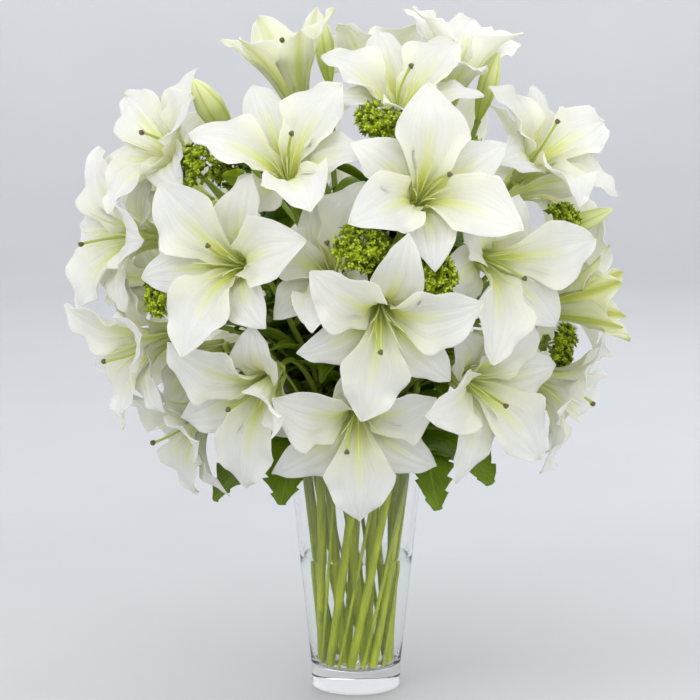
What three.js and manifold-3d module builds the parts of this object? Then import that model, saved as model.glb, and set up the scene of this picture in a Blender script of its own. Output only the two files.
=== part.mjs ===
// White lilies in a vase: leafy lily stems with open blooms, half-open blooms and buds, thin sprays of small
// green filler flowers and broad collar leaves, all standing in water in a tall, flared, clear glass vase.
// Millimetres, +Z up. The origin is the centre of the vase's foot on the table. The viewer looks along +Y.

import * as THREE from "three";
import { mergeVertices } from "three/addons/utils/BufferGeometryUtils.js";
import Module from "manifold-3d";

const wasm = await Module();
wasm.setup();

// Driving dimensions
const vase = { height: 200, footRadius: 37, rimRadius: 56, footHeight: 16, wall: 3.2, floor: 19, sides: 28 };
const waterLevel = 112;
const seatGap = 0.3; // between pieces that touch
const leastGap = 1.2; // that a petal or leaf keeps to other plants
const ownGap = 0.35; // that a petal keeps to the stem and stamens it grows on
const domeCentre = new THREE.Vector3(0, 0, 345);
const stemRadius = 3.6;

// Angles in the tables below: azimuth 0 faces the viewer and grows to the viewer's right, elevation is above
// level.
const degrees = Math.PI / 180;

function direction(azimuth, elevation) {
  const [a, e] = [azimuth * degrees, elevation * degrees];
  return new THREE.Vector3(Math.cos(e) * Math.sin(a), -Math.cos(e) * Math.cos(a), Math.sin(e));
}

function aroundAxis(azimuth, radius, height) {
  return direction(azimuth, 0).multiplyScalar(radius).setZ(height);
}

function onDome([azimuth, elevation, distance]) {
  return direction(azimuth, elevation).multiplyScalar(distance).add(domeCentre);
}

// A number from 0 to 1 that differs for each n, in place of a random draw
function spread(n) {
  return (n * 0.6180339887) % 1;
}

function smooth(x) {
  const t = Math.min(1, Math.max(0, x));
  return t * t * (3 - 2 * t);
}

// Each flower: its name and stem, where its base sits on the dome (azimuth, elevation, distance from the
// dome's centre), where it faces, its roll, its petals' length and how far they open and curl, in degrees
const flowers = [
  ["front_centre", "a", [8, -1, 127], [4, -18], 18, 106, 68, 38],
  ["front_low", "a", [1, -44, 123], [0, -22], 30, 106, 64, 36],
  ["front_left_low", "j", [-34, -30, 124], [-26, -22], 18, 108, 68, 36],
  ["front_left", "j", [-41, 8, 126], [-26, 12], 14, 108, 68, 38],
  ["front_inner", "k", [-8, 2, 110], [-12, 30], 50, 96, 54, 30],
  ["left_high", "k", [-29, 35, 129], [-8, 44], 55, 102, 62, 34],
  ["right_high", "b", [23, 30, 128], [14, 26], 86, 110, 64, 30],
  ["front_right", "c", [44, 12, 129], [36, -2], 12, 108, 66, 38],
  ["front_right_low", "c", [44, -33, 126], [38, -6], 68, 108, 64, 38],
  ["right_upper", "d", [84, 31, 150], [46, 40], 10, 98, 62, 46],
  ["right_half_open", "d", [71, -9, 145], [82, 8], 30, 84, 24, 12],
  ["right_low", "d", [82, -30, 150], [74, -24], 0, 98, 60, 46],
  ["left_upper", "i", [-84, 33, 154], [-52, 34], 30, 98, 64, 46],
  ["left_middle", "i", [-84, 12, 156], [-62, 6], 2, 106, 68, 46],
  ["left_lower", "m", [-78, -16, 150], [-60, -12], 20, 98, 58, 40],
  ["left_low", "m", [-76, -40, 146], [-60, -34], 10, 98, 60, 46],
  ["top_left", "l", [-69, 70, 134], [-60, 74], 50, 94, 34, 16],
  ["top_back", "l", [165, 66, 134], [170, 70], 10, 98, 54, 40],
  ["top_centre", "l", [38, 66, 126], [6, 54], 40, 96, 56, 38],
  ["top_right", "b", [90, 62, 150], [58, 68], 30, 96, 54, 40],
  ["back_right_upper", "e", [118, 22, 142], [116, 26], 0, 102, 64, 46],
  ["back_right_low", "e", [128, -28, 136], [126, -22], 30, 100, 62, 44],
  ["side_right", "e", [108, -4, 138], [108, 0], 12, 102, 64, 46],
  ["back_upper_right", "f", [156, 26, 138], [156, 30], 15, 104, 64, 44],
  ["back_low_right", "f", [168, -24, 134], [168, -16], 40, 102, 62, 42],
  ["back_centre", "f", [-178, 1, 138], [-178, 6], 26, 104, 64, 44],
  ["back_upper_left", "g", [-158, 24, 138], [-158, 28], 20, 104, 64, 44],
  ["back_low_left", "g", [-150, -28, 134], [-152, -22], 50, 100, 62, 42],
  ["back_left_upper", "h", [-118, 20, 142], [-118, 24], 5, 102, 64, 46],
  ["side_left", "h", [-106, -6, 138], [-108, 0], 18, 102, 64, 46],
  ["back_left_low", "h", [-116, -30, 136], [-116, -24], 35, 100, 62, 44],
].map(([name, stem, at, faces, roll, length, open, curl]) => {
  return { name, stem, at, faces, roll, length, open, curl };
});

const buds = [
  { stem: "k", at: [-68, 47, 158], faces: [-36, 46], length: 66, girth: 11.5 },
  { stem: "b", at: [88, 52, 160], faces: [60, 72], length: 58, girth: 8.5 },
  { stem: "l", at: [-150, 74, 158], faces: [-90, 82], length: 60, girth: 8.5 },
  { stem: "d", at: [84, 12, 160], faces: [84, 24], length: 56, girth: 8 },
  { stem: "g", at: [-140, 2, 158], faces: [-140, 8], length: 60, girth: 9 },
  { stem: "e", at: [142, 0, 158], faces: [142, 6], length: 60, girth: 9 },
];

// Each lily stem: where it stands on the vase's floor and crosses the rim (azimuth, radius), and the crown
// from which its last flower grows (azimuth, radius, height)
const stems = [
  { name: "a", foot: [-60, 26.5], rim: [2, 43], crown: [4, 60, 282] },
  { name: "c", foot: [-18, 26.5], rim: [47, 43], crown: [48, 62, 292] },
  { name: "d", foot: [22, 26.5], rim: [86, 43], crown: [84, 72, 306] },
  { name: "e", foot: [62, 26.5], rim: [125, 43], crown: [124, 66, 298] },
  { name: "f", foot: [101, 26.5], rim: [163, 43], crown: [162, 64, 296] },
  { name: "g", foot: [141, 26.5], rim: [-156, 43], crown: [-154, 64, 296] },
  { name: "h", foot: [-180, 26.5], rim: [-117, 43], crown: [-117, 66, 298] },
  { name: "m", foot: [-141, 26.5], rim: [-80, 43], crown: [-80, 66, 278] },
  { name: "j", foot: [-101, 26.5], rim: [-42, 43], crown: [-42, 60, 288] },
  { name: "b", foot: [140, 11], rim: [40, 24], crown: [44, 46, 376] },
  { name: "k", foot: [50, 11], rim: [-24, 24], crown: [-28, 44, 352] },
  { name: "i", foot: [-40, 11], rim: [-92, 25], crown: [-82, 62, 352] },
  { name: "l", foot: [-130, 11], rim: [170, 24], crown: [-150, 24, 392] },
];

// Each filler spray: its foot and rim crossing (azimuth, radius), its heads (azimuth, elevation, distance)
const sprays = [
  { name: "front_left", foot: [-80, 28], rim: [-20, 48.5], heads: [[-11, 14, 180], [-54, 0, 190]] },
  { name: "front_right", foot: [-39, 28], rim: [24, 48.5], heads: [[19, 6, 180], [10, 50, 178]] },
  { name: "right", foot: [42, 28], rim: [105, 48.5], heads: [[74, 14, 182], [80, -20, 180]] },
  { name: "left", foot: [-160, 28], rim: [-98, 48.5], heads: [[-60, 32, 182]] },
  { name: "back_left", foot: [161, 28], rim: [-137, 48.5], heads: [[-138, 26, 176]] },
  { name: "back_right", foot: [82, 28], rim: [144, 48.5], heads: [[140, 30, 176]] },
];

// Each spray of broad toothed leaves at the vase's rim: its foot and rim crossing, and its leaf tips
// (azimuth, radius, height) with their half widths
const collarSprays = [
  { name: "left", foot: [-121, 28], rim: [-62, 49], leaves: [[-72, 122, 164, 26], [-34, 108, 172, 23]] },
  { name: "right", foot: [2, 28], rim: [66, 49], leaves: [[62, 124, 182, 26], [36, 112, 168, 20]] },
  { name: "back", foot: [121, 28], rim: [184, 49], leaves: [[152, 118, 178, 23], [-150, 118, 178, 23]] },
];

// Shapes of the pieces that repeat
const petalForm = { throat: 14, halfWidth: 29, columns: 4, thickness: 1.1, wave: 1.2, back: 0 };
const sepalForm = { throat: 15, halfWidth: 21, columns: 2, thickness: 1.2, wave: -0.8, back: 2.4 };
const petalRows = [0.3, 0.74, 1];
const sepalRows = [0.3, 0.7, 1];
const tepalRoot = 0.08; // where a petal's trial shape starts, below its first row
const ring = { inner: 2.15, outer: 5.4, bottom: 0.3, top: 4.6 }; // six-sided, a tepal grows from each side
const pedicel = { root: 2.6, radius: 2.2, top: 2.9 };
const stamens = { columnRadius: 1.7, low: 7.5, high: 10.5, length: 60, lean: 12 };
const style = { length: 76, radius: 1.15, stigma: 2.5, lean: 10 };
const fillerRadius = 1.4;
const collarRadius = 1.6;
const leafRows = [0, 0.2, 0.6, 1];
const toothRows = [0, 0.12, 0.22, 0.34, 0.44, 0.56, 0.66, 0.78, 0.87, 1];

// The poses a petal tries, the mildest first, until it is clear of its neighbours
const lifts = [0, -8, 8, -16, 16, -24, 24, -32, 32, -40, -48];
const swings = [0, 8, -8, 16, -16, 24, -24];
const reaches = [1, 0.9, 0.8, 0.68];
const poses = lifts
  .flatMap((lift) => swings.flatMap((swing) => reaches.map((reach) => ({ lift, swing, reach }))))
  .map((p) => ({ ...p, cost: Math.abs(p.lift) * 0.1 + Math.abs(p.swing) * 0.12 + (1 - p.reach) * 14 }))
  .sort((p, q) => p.cost - q.cost);

// Turning geometry into solids and back

function solidOf(positions, faces) {
  const [vertProperties, triVerts] = [new Float32Array(positions), new Uint32Array(faces)];
  return new wasm.Manifold(new wasm.Mesh({ numProp: 3, vertProperties, triVerts }));
}

function solidOfGeometry(geometry) {
  const bare = geometry.clone().deleteAttribute("normal").deleteAttribute("uv");
  const merged = mergeVertices(bare, 1e-3);
  return solidOf(merged.attributes.position.array, merged.index.array);
}

function geometryOf(solid) {
  const mesh = solid.getMesh();
  const geometry = new THREE.BufferGeometry();
  geometry.setAttribute("position", new THREE.BufferAttribute(new Float32Array(mesh.vertProperties), 3));
  geometry.setIndex(new THREE.BufferAttribute(new Uint32Array(mesh.triVerts), 1));
  geometry.computeVertexNormals();
  return geometry;
}

function joined(solids) {
  return solids.reduce((whole, piece) => whole.add(piece));
}

// Adding a ring of points round a centre to a mesh that is being built. A radius of 0 makes a single point.
function addRing(mesh, centre, x, y, radius, sides) {
  const first = mesh.positions.length / 3;
  for (let k = 0; k < (radius === 0 ? 1 : sides); k += 1) {
    const turn = (2 * Math.PI * (k + 0.5)) / sides;
    const point = centre.clone().addScaledVector(x, radius * Math.cos(turn));
    mesh.positions.push(...point.addScaledVector(y, radius * Math.sin(turn)).toArray());
  }
  return first;
}

function joinRings(mesh, low, high, sides, highIsPoint) {
  for (let k = 0; k < sides; k += 1) {
    const next = (k + 1) % sides;
    if (highIsPoint) {
      mesh.faces.push(low + k, low + next, high);
    } else {
      mesh.faces.push(low + k, low + next, high + next, low + k, high + next, high + k);
    }
  }
}

function closeRing(mesh, first, sides, atStart) {
  for (let k = 1; k < sides - 1; k += 1) {
    mesh.faces.push(first, first + (atStart ? k + 1 : k), first + (atStart ? k : k + 1));
  }
}

// The directions across a path at each of its points, kept from twisting. It starts from the last one given.
function crossings(path, lastAcross) {
  const all = [];
  let across = lastAcross;
  for (let i = path.length - 1; i >= 0; i -= 1) {
    const along = path[Math.min(i + 1, path.length - 1)].clone().sub(path[Math.max(i - 1, 0)]).normalize();
    across = across.clone().addScaledVector(along, -across.dot(along)).normalize();
    all.unshift({ x: across, y: new THREE.Vector3().crossVectors(along, across) });
  }
  return all;
}

// A rod through the points of a path, round with few sides. A last radius of 0 ends it in a point.
function rod(path, radii, sides) {
  const mesh = { positions: [], faces: [] };
  const across = crossings(path, new THREE.Vector3(0.31, 0.83, 0.47));
  const rings = path.map((point, i) => addRing(mesh, point, across[i].x, across[i].y, radii[i], sides));
  const last = rings.length - 1;
  for (let i = 1; i <= last; i += 1) joinRings(mesh, rings[i - 1], rings[i], sides, radii[i] === 0);
  closeRing(mesh, rings[0], sides, true);
  if (radii[last] > 0) closeRing(mesh, rings[last], sides, false);
  return solidOf(mesh.positions, mesh.faces);
}

// Adding a thin blade with a pointed tip to a mesh, from its first row on. surface(s, t) gives its middle
// surface and face normal, s along it up to 1 and t across it from -1 to 1. Both faces share the outline and
// are split into triangles alike. The return is the first row's points on the upper and the lower face.
function addBlade(mesh, surface, rows, columns, thickness) {
  const [upper, lower] = [[], []];
  rows.slice(0, -1).forEach((s) => {
    const [up, down] = [[], []];
    for (let j = 0; j <= columns; j += 1) {
      const t = (2 * j) / columns - 1;
      const { point, normal } = surface(s, t);
      const half = (thickness / 2) * (1 - t ** 4);
      up.push(mesh.positions.length / 3);
      mesh.positions.push(...point.clone().addScaledVector(normal, half).toArray());
      if (half > 0) mesh.positions.push(...point.clone().addScaledVector(normal, -half).toArray());
      down.push(mesh.positions.length / 3 - 1);
    }
    upper.push(up);
    lower.push(down);
  });
  const tip = mesh.positions.length / 3;
  mesh.positions.push(...surface(1, 0).point.toArray());
  const last = upper.length - 1;
  for (let j = 0; j < columns; j += 1) {
    for (let i = 0; i < last; i += 1) {
      const [a, b, c, d] = [upper[i][j], upper[i][j + 1], upper[i + 1][j + 1], upper[i + 1][j]];
      const [e, f, g, h] = [lower[i][j], lower[i][j + 1], lower[i + 1][j + 1], lower[i + 1][j]];
      if (j < columns / 2) {
        mesh.faces.push(a, c, b, a, d, c, e, f, g, e, g, h);
      } else {
        mesh.faces.push(a, d, b, b, d, c, e, f, h, f, g, h);
      }
    }
    mesh.faces.push(upper[last][j], tip, upper[last][j + 1], lower[last][j], lower[last][j + 1], tip);
  }
  return { upper: upper[0], lower: lower[0] };
}

// A blade on its own, closed at its base
function blade(surface, rows, columns, thickness) {
  const mesh = { positions: [], faces: [] };
  const { upper, lower } = addBlade(mesh, surface, rows, columns, thickness);
  for (let j = 0; j < columns; j += 1) {
    if (upper[j + 1] !== lower[j + 1]) mesh.faces.push(upper[j], upper[j + 1], lower[j + 1]);
    if (upper[j] !== lower[j]) mesh.faces.push(upper[j], lower[j + 1], lower[j]);
  }
  return solidOf(mesh.positions, mesh.faces);
}

// Placing things without crossing

const placed = []; // every solid that later ones keep clear of

function boxesApart(a, b, gap) {
  return [0, 1, 2].some((k) => a.min[k] > b.max[k] + gap || b.min[k] > a.max[k] + gap);
}

function place(solid, owner) {
  placed.push({ solid, box: solid.boundingBox(), owner });
  return solid;
}

// Whether a solid keeps its distance from all that is placed, and hostGap from its host, which it may touch
function isClear(solid, host, hostGap) {
  const box = solid.boundingBox();
  return placed.every((other) => {
    const gap = other.owner === host ? hostGap : leastGap;
    return gap === 0 || boxesApart(other.box, box, gap) || other.solid.minGap(solid, gap) >= gap;
  });
}

// The solid of the first choice that is clear of everything placed before it
function firstClear(choices, make, host, hostGap) {
  for (const choice of choices) {
    const solid = make(choice);
    if (isClear(solid, host, hostGap)) return solid;
  }
  return null;
}

// The vase and its water

function innerRadius(height) {
  const slope = (vase.rimRadius - vase.footRadius) / (vase.height - vase.footHeight);
  return vase.footRadius + (height - vase.footHeight) * slope - vase.wall;
}

function turned(profile) {
  const points = profile.map(([r, z]) => new THREE.Vector2(r, z));
  return solidOfGeometry(new THREE.LatheGeometry(points, vase.sides).rotateX(Math.PI / 2));
}

function makeVase() {
  const lip = vase.wall / 2;
  return turned([
    [0, 0],
    [vase.footRadius - 2, 0],
    [vase.footRadius, 2],
    [vase.footRadius, vase.footHeight],
    [vase.rimRadius, vase.height - lip / 2],
    [vase.rimRadius - lip, vase.height],
    [vase.rimRadius - vase.wall, vase.height - lip / 2],
    [innerRadius(vase.floor + 5), vase.floor + 5],
    [innerRadius(vase.floor) - 3, vase.floor],
    [0, vase.floor],
  ]);
}

function makeWater(holes) {
  const bottom = vase.floor + seatGap;
  const body = turned([
    [0, bottom],
    [innerRadius(bottom) - 3 - 2 * seatGap, bottom],
    [innerRadius(bottom + 5) - 2 * seatGap, bottom + 5],
    [innerRadius(waterLevel) - 2 * seatGap, waterLevel],
    [0, waterLevel],
  ]);
  return holes.reduce((left, hole) => left.subtract(hole), body);
}

// Lily petals

// The frame of a flower: its base, its facing as local z, turned by its roll about it
function flowerFrame(flower) {
  const z = direction(...flower.faces);
  const level = new THREE.Vector3().crossVectors(new THREE.Vector3(0, 0, 1), z).normalize();
  const upright = new THREE.Vector3().crossVectors(z, level);
  const turn = (flower.roll ?? 0) * degrees;
  const x = level.multiplyScalar(Math.cos(turn)).addScaledVector(upright, Math.sin(turn));
  const y = new THREE.Vector3().crossVectors(z, x);
  return { base: onDome(flower.at), x, y, z };
}

// A point in a flower's frame, by distance from its axis, angle about it and height along it
function inFrame(frame, radius, turn, height) {
  return frame.base
    .clone()
    .addScaledVector(frame.x, radius * Math.cos(turn))
    .addScaledVector(frame.y, radius * Math.sin(turn))
    .addScaledVector(frame.z, height);
}

function lanceolate(s) {
  const widest = 0.6;
  if (s < widest) return 0.2 + 0.8 * smooth(s / widest);
  return Math.sqrt(Math.max(0, 1 - ((s - widest) / (1 - widest)) ** 2.2));
}

// The middle surface of one petal. It leaves the base as part of a narrow tube, opens and curls back.
function tepalSurface(frame, flower, form, turn, phase, pose) {
  const steps = 40;
  const length = flower.length * pose.reach;
  const outward = inFrame(frame, 1, turn, 0).sub(frame.base);
  const sideways = new THREE.Vector3().crossVectors(frame.z, outward);
  const angleAt = (s) => {
    const opening = (flower.open + pose.lift - form.throat) * smooth((s - 0.14) / 0.52);
    const curl = flower.curl * Math.max(0, (s - 0.6) / 0.4) ** 1.4;
    return (form.throat + opening + curl) * degrees;
  };
  const reachAt = (s) => {
    let [r, z] = [ring.outer - 1.5, 2];
    for (let i = 0; i < steps; i += 1) {
      const angle = angleAt((s * (i + 0.5)) / steps);
      r += (Math.sin(angle) * length * s) / steps;
      z += (Math.cos(angle) * length * s) / steps;
    }
    return [r, z];
  };
  return (s, t) => {
    const [r, z] = reachAt(s);
    const angle = angleAt(s);
    const lean = Math.sin(pose.swing * degrees) * length * 0.62 * s * s;
    const inward = frame.z.clone().multiplyScalar(Math.sin(angle)).addScaledVector(outward, -Math.cos(angle));
    const width = Math.min(form.halfWidth * lanceolate(s) * (flower.length / 105), 0.84 * r);
    // Each petal follows the round of the flower's funnel, and stays a little hollow where it has opened
    const cup = Math.min(1.3, (width / r) * Math.max(0, Math.cos(angle)) + 0.3);
    const ripple = 1 + Math.sin(2 * Math.PI * (1.6 * s + phase) + (t > 0 ? 1.7 : 0));
    const wave = form.wave * ripple * t * t * smooth(s / 0.7);
    const point = inFrame(frame, r, turn, z)
      .addScaledVector(sideways, lean + (width * Math.sin(cup * t)) / cup)
      .addScaledVector(inward, (width * (1 - Math.cos(cup * t))) / cup + wave - form.back);
    const normal = inward.multiplyScalar(Math.cos(cup * t)).addScaledVector(sideways, -Math.sin(cup * t));
    return { point, normal };
  };
}

// Choosing how each petal of a flower lies. Broad petals lie in front of the narrow ones and none cross.
function chooseTepals(flower, index) {
  const frame = flowerFrame(flower);
  const chosen = [];
  [0, 2, 4, 1, 3, 5].forEach((k) => {
    const [form, rows] = k % 2 === 0 ? [petalForm, petalRows] : [sepalForm, sepalRows];
    const phase = spread(6 * index + k);
    const surfaceOf = (pose) => tepalSurface(frame, flower, form, k * 60 * degrees, phase, pose);
    poses.find((pose) => {
      const solid = blade(surfaceOf(pose), [tepalRoot, ...rows], form.columns, form.thickness);
      const apart = chosen.every((other) => other.solid.minGap(solid, leastGap) >= ownGap);
      if (!apart || !isClear(solid, flower.stem, ownGap)) return false;
      chosen.push({ k, form, rows, solid, surface: surfaceOf(pose) });
      return true;
    });
  });
  return { frame, chosen };
}

// The six petals in one piece. Each grows from a side of a six-sided ring that the stalk passes through.
function makePerianth(flower, index) {
  const { frame, chosen } = chooseTepals(flower, index);
  const mesh = { positions: [], faces: [] };
  const { x, y } = frame;
  const ringAt = (height, radius) => addRing(mesh, inFrame(frame, 0, 0, height), x, y, radius, 6);
  const [outerLow, outerHigh] = [ringAt(ring.bottom, ring.outer), ringAt(ring.top, ring.outer)];
  const [innerLow, innerHigh] = [ringAt(ring.bottom, ring.inner), ringAt(ring.top, ring.inner)];
  joinRings(mesh, innerHigh, innerLow, 6, false);
  joinRings(mesh, outerHigh, innerHigh, 6, false);
  joinRings(mesh, innerLow, outerLow, 6, false);
  chosen.forEach(({ k, form, rows, surface }) => {
    const [left, right] = [(k + 5) % 6, k];
    const [highLeft, highRight] = [outerHigh + left, outerHigh + right];
    const [lowLeft, lowRight] = [outerLow + left, outerLow + right];
    const { upper, lower } = addBlade(mesh, surface, rows, form.columns, form.thickness);
    const middle = form.columns / 2;
    mesh.faces.push(highLeft, upper[middle], highRight, lowLeft, lowRight, lower[middle]);
    mesh.faces.push(highLeft, lowLeft, upper[0], lowRight, highRight, upper[form.columns]);
    for (let j = 0; j < form.columns; j += 1) {
      mesh.faces.push(j < middle ? highLeft : highRight, upper[j], upper[j + 1]);
      mesh.faces.push(j < middle ? lowLeft : lowRight, lower[j + 1], lower[j]);
    }
  });
  return place(solidOf(mesh.positions, mesh.faces), flower.name);
}

// Stems and stalks

function bezier(from, leaving, to, arriving) {
  const reach = from.distanceTo(to);
  return new THREE.CubicBezierCurve3(
    from,
    from.clone().addScaledVector(leaving, reach * 0.34),
    to.clone().addScaledVector(arriving, -reach * 0.34),
    to,
  );
}

// A flower's stalk, style and stamens in one: above the petals' seat it narrows to a column, whose six sides
// run out into filaments and whose end runs on as the style.
function makeFlowerStalk(flower, index, lead, leaving) {
  const frame = flowerFrame(flower);
  const { x, y, z } = frame;
  const size = flower.length / 105;
  const mesh = { positions: [], faces: [] };
  const bend = bezier(lead.path[lead.path.length - 1], leaving, inFrame(frame, 0, 0, -5), z).getPoints(2);
  const path = [...lead.path, ...bend.slice(1), frame.base];
  const radii = [...lead.radii, pedicel.radius, pedicel.radius, pedicel.top];
  const across = crossings(path, x);
  const rings = path.map((point, i) => addRing(mesh, point, across[i].x, across[i].y, radii[i], 6));
  const towards = 2 * Math.PI * spread(3 * index + 1);
  const tip = style.length * size;
  const upper = [
    [0, 0, stamens.columnRadius],
    [0, stamens.low, stamens.columnRadius],
    [0, stamens.high, stamens.columnRadius],
    [style.lean * 0.9, tip - 2, style.radius],
    [style.lean, tip + 1, style.stigma],
  ];
  upper.forEach(([lean, height, radius]) => {
    rings.push(addRing(mesh, inFrame(frame, lean, towards, height), x, y, radius, 6));
  });
  const filamentsFrom = path.length + 1;
  rings.slice(1).forEach((high, i) => {
    const low = rings[i];
    if (i !== filamentsFrom) {
      joinRings(mesh, low, high, 6, false);
      return;
    }
    for (let k = 0; k < 6; k += 1) {
      const next = (k + 1) % 6;
      const lean = (stamens.lean + 5 * spread(6 * index + k)) * degrees;
      const length = stamens.length * size;
      const [out, on] = [1 + length * Math.sin(lean), 8 + length * Math.cos(lean)];
      const apex = addRing(mesh, inFrame(frame, out, (k + 1) * 60 * degrees, on), x, y, 0, 1);
      const corners = [low + k, low + next, high + next, high + k];
      corners.forEach((corner, n) => mesh.faces.push(corner, corners[(n + 1) % 4], apex));
    }
  });
  closeRing(mesh, rings[0], 6, true);
  closeRing(mesh, rings[rings.length - 1], 6, false);
  return solidOf(mesh.positions, mesh.faces);
}

function makeBudStalk(bud, lead, leaving) {
  const frame = flowerFrame(bud);
  const bend = bezier(lead.path[lead.path.length - 1], leaving, frame.base, frame.z).getPoints(2);
  const stations = [0.1, 0.32, 0.58, 0.82, 1];
  const girths = [0.5, 0.86, 1, 0.66, 0];
  return rod(
    [...lead.path, ...bend.slice(1), ...stations.map((s) => inFrame(frame, 0, 0, s * bud.length))],
    [...lead.radii, pedicel.radius, pedicel.top, ...girths.map((g) => g * bud.girth)],
    6,
  );
}

// Where a stem stands on the vase's floor and leaves its rim. Its cut end is square to it, so its low corner
// is kept off the glass.
function footAndRim(stem, radius) {
  const rim = aroundAxis(...stem.rim, vase.height);
  const foot = aroundAxis(...stem.foot, 0);
  const up = rim.clone().sub(foot).normalize();
  const lowest = vase.floor + seatGap + radius * Math.hypot(up.x, up.y);
  return { foot: foot.addScaledVector(up, lowest / up.z), rim, up };
}

function makeHole(stem, radius) {
  const { foot, rim, up } = footAndRim(stem, radius);
  const wide = radius + 2 * seatGap;
  return rod([foot.addScaledVector(up, -8), rim], [wide, wide], 6);
}

// The stem's line from the vase's rim to its crown
function stemLine(stem) {
  const { rim, up } = footAndRim(stem, stemRadius);
  return bezier(rim, up, aroundAxis(...stem.crown), direction(stem.crown[0], 50));
}

// A lily stem with the stalks of its flowers and buds, which leave it one above the other. The last one is
// the stem's own end.
function makeLilyStem(stem) {
  const { foot } = footAndRim(stem, stemRadius);
  const line = stemLine(stem);
  const whole = { path: [foot, ...line.getPoints(4)], radii: [stemRadius, stemRadius, 3.3, 3.1, 2.9, 2.7] };
  const grown = [...flowers, ...buds].filter((f) => f.stem === stem.name).sort((p, q) => p.at[1] - q.at[1]);
  return grown.map((flower, k) => {
    const isLast = k === grown.length - 1;
    const fraction = 0.5 + (0.44 * k) / Math.max(1, grown.length - 1);
    const from = line.getPoint(isLast ? 1 : fraction);
    const lead = isLast ? whole : { path: [from], radii: [pedicel.root] };
    const leaving = line.getTangent(isLast ? 1 : fraction);
    if (!isLast) leaving.add(onDome(flower.at).sub(from).normalize()).normalize();
    const index = flowers.indexOf(flower);
    return index < 0 ? makeBudStalk(flower, lead, leaving) : makeFlowerStalk(flower, index, lead, leaving);
  });
}

// Leaves

// A leaf's middle surface along a curve. Its face looks towards up, it folds along its midrib, and teeth
// notch its edge at every second row.
function leafSurface(curve, up, halfWidth, fold, rows) {
  return (s, t) => {
    const along = curve.getTangent(s);
    const side = new THREE.Vector3().crossVectors(up, along).normalize();
    const face = new THREE.Vector3().crossVectors(along, side);
    const notch = rows === toothRows && rows.indexOf(s) % 2 === 0 ? 0.8 : 1;
    const outline = s < 1 ? 0.1 + 0.9 * Math.sin(Math.PI * s ** 0.8) ** 0.8 : 0;
    const width = halfWidth * notch * outline;
    const point = curve
      .getPoint(s)
      .addScaledVector(side, width * t * Math.cos(fold))
      .addScaledVector(face, width * Math.abs(t) * Math.sin(fold));
    return { point, normal: face };
  };
}

function makeLeaf(curve, up, halfWidth, fold, rows) {
  return blade(leafSurface(curve, up, halfWidth, fold, rows), rows, 2, 1.2);
}

// The leaves of one lily stem, left out where there is no room
function makeStemLeaves(stem, index) {
  const line = stemLine(stem);
  return [0.18, 0.46]
    .map((fraction, k) => {
      const from = line.getPoint(fraction);
      const length = 76 - 8 * k;
      const first = 30 * (spread(3 * index + k) - 0.5);
      const turns = [0, 20, -20, 40, -40, 60, -60, 85, -85].map((turn) => first + turn);
      const make = ([swing, rise]) => {
        const leaving = direction(stem.rim[0] + swing, rise);
        const tip = from.clone().addScaledVector(direction(stem.rim[0] + swing, rise - 34), length);
        const curve = bezier(from, leaving, tip, direction(stem.rim[0] + swing, rise - 70));
        return makeLeaf(curve, new THREE.Vector3(0, 0, 1), 9, 0.4, leafRows);
      };
      const choices = [30, 10, 50, -10].flatMap((rise) => turns.map((swing) => [swing, rise]));
      return firstClear(choices, make, stem.name, 0);
    })
    .filter((leaf) => leaf)
    .map((leaf) => place(leaf, stem.name));
}

function makeCollarSpray(spray) {
  const owner = `collar_${spray.name}`;
  const { foot, rim, up } = footAndRim(spray, collarRadius);
  const top = rim.clone().addScaledVector(up, 14);
  const pieces = [rod([foot, rim, top], [collarRadius, collarRadius, collarRadius], 5)];
  spray.leaves.forEach(([azimuth, reach, height, halfWidth]) => {
    const make = ([swing, lift]) => {
      const facing = azimuth + swing;
      const from = top.clone().addScaledVector(up, -3);
      const tip = aroundAxis(facing, reach, height + lift);
      const curve = bezier(from, direction(facing, 25), tip, direction(facing, -55));
      return makeLeaf(curve, direction(facing, 60), halfWidth, 0.25, toothRows);
    };
    const choices = [0, 8, -8, 16, -16].flatMap((swing) => [0, 12, -8, 24].map((lift) => [swing, lift]));
    const leaf = firstClear(choices, make, owner, 0);
    if (leaf) pieces.push(place(leaf, owner));
  });
  place(pieces[0], owner);
  return pieces;
}

// Filler flowers

// One branch of a spray. Its end fans out into five rays, each with a star-shaped floret of pointed bracts.
function makeBranch(stalk, arriving, index) {
  const mesh = { positions: [], faces: [] };
  const sides = 5;
  const across = crossings(stalk, new THREE.Vector3(0.3, 0.5, 0.8));
  const rings = stalk.map((point, i) => addRing(mesh, point, across[i].x, across[i].y, 1.2, sides));
  for (let i = 1; i < rings.length; i += 1) joinRings(mesh, rings[i - 1], rings[i], sides, false);
  closeRing(mesh, rings[0], sides, true);
  const end = stalk[stalk.length - 1];
  const { x, y } = across[across.length - 1];
  const centre = addRing(mesh, end.clone().addScaledVector(arriving, 0.8), x, y, 0, 1);
  for (let k = 0; k < sides; k += 1) {
    const turn = ((k + 1) * 2 * Math.PI) / sides;
    const sideways = x.clone().multiplyScalar(0.8 * Math.cos(turn)).addScaledVector(y, 0.8 * Math.sin(turn));
    const facing = arriving.clone().add(sideways).normalize();
    const tip = end.clone().addScaledVector(facing, 15 + 4 * spread(sides * index + k));
    const low = rings[rings.length - 1];
    addFloret(mesh, [low + k, low + ((k + 1) % sides), centre], tip, facing, 5.4);
  }
  return solidOf(mesh.positions, mesh.faces);
}

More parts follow.
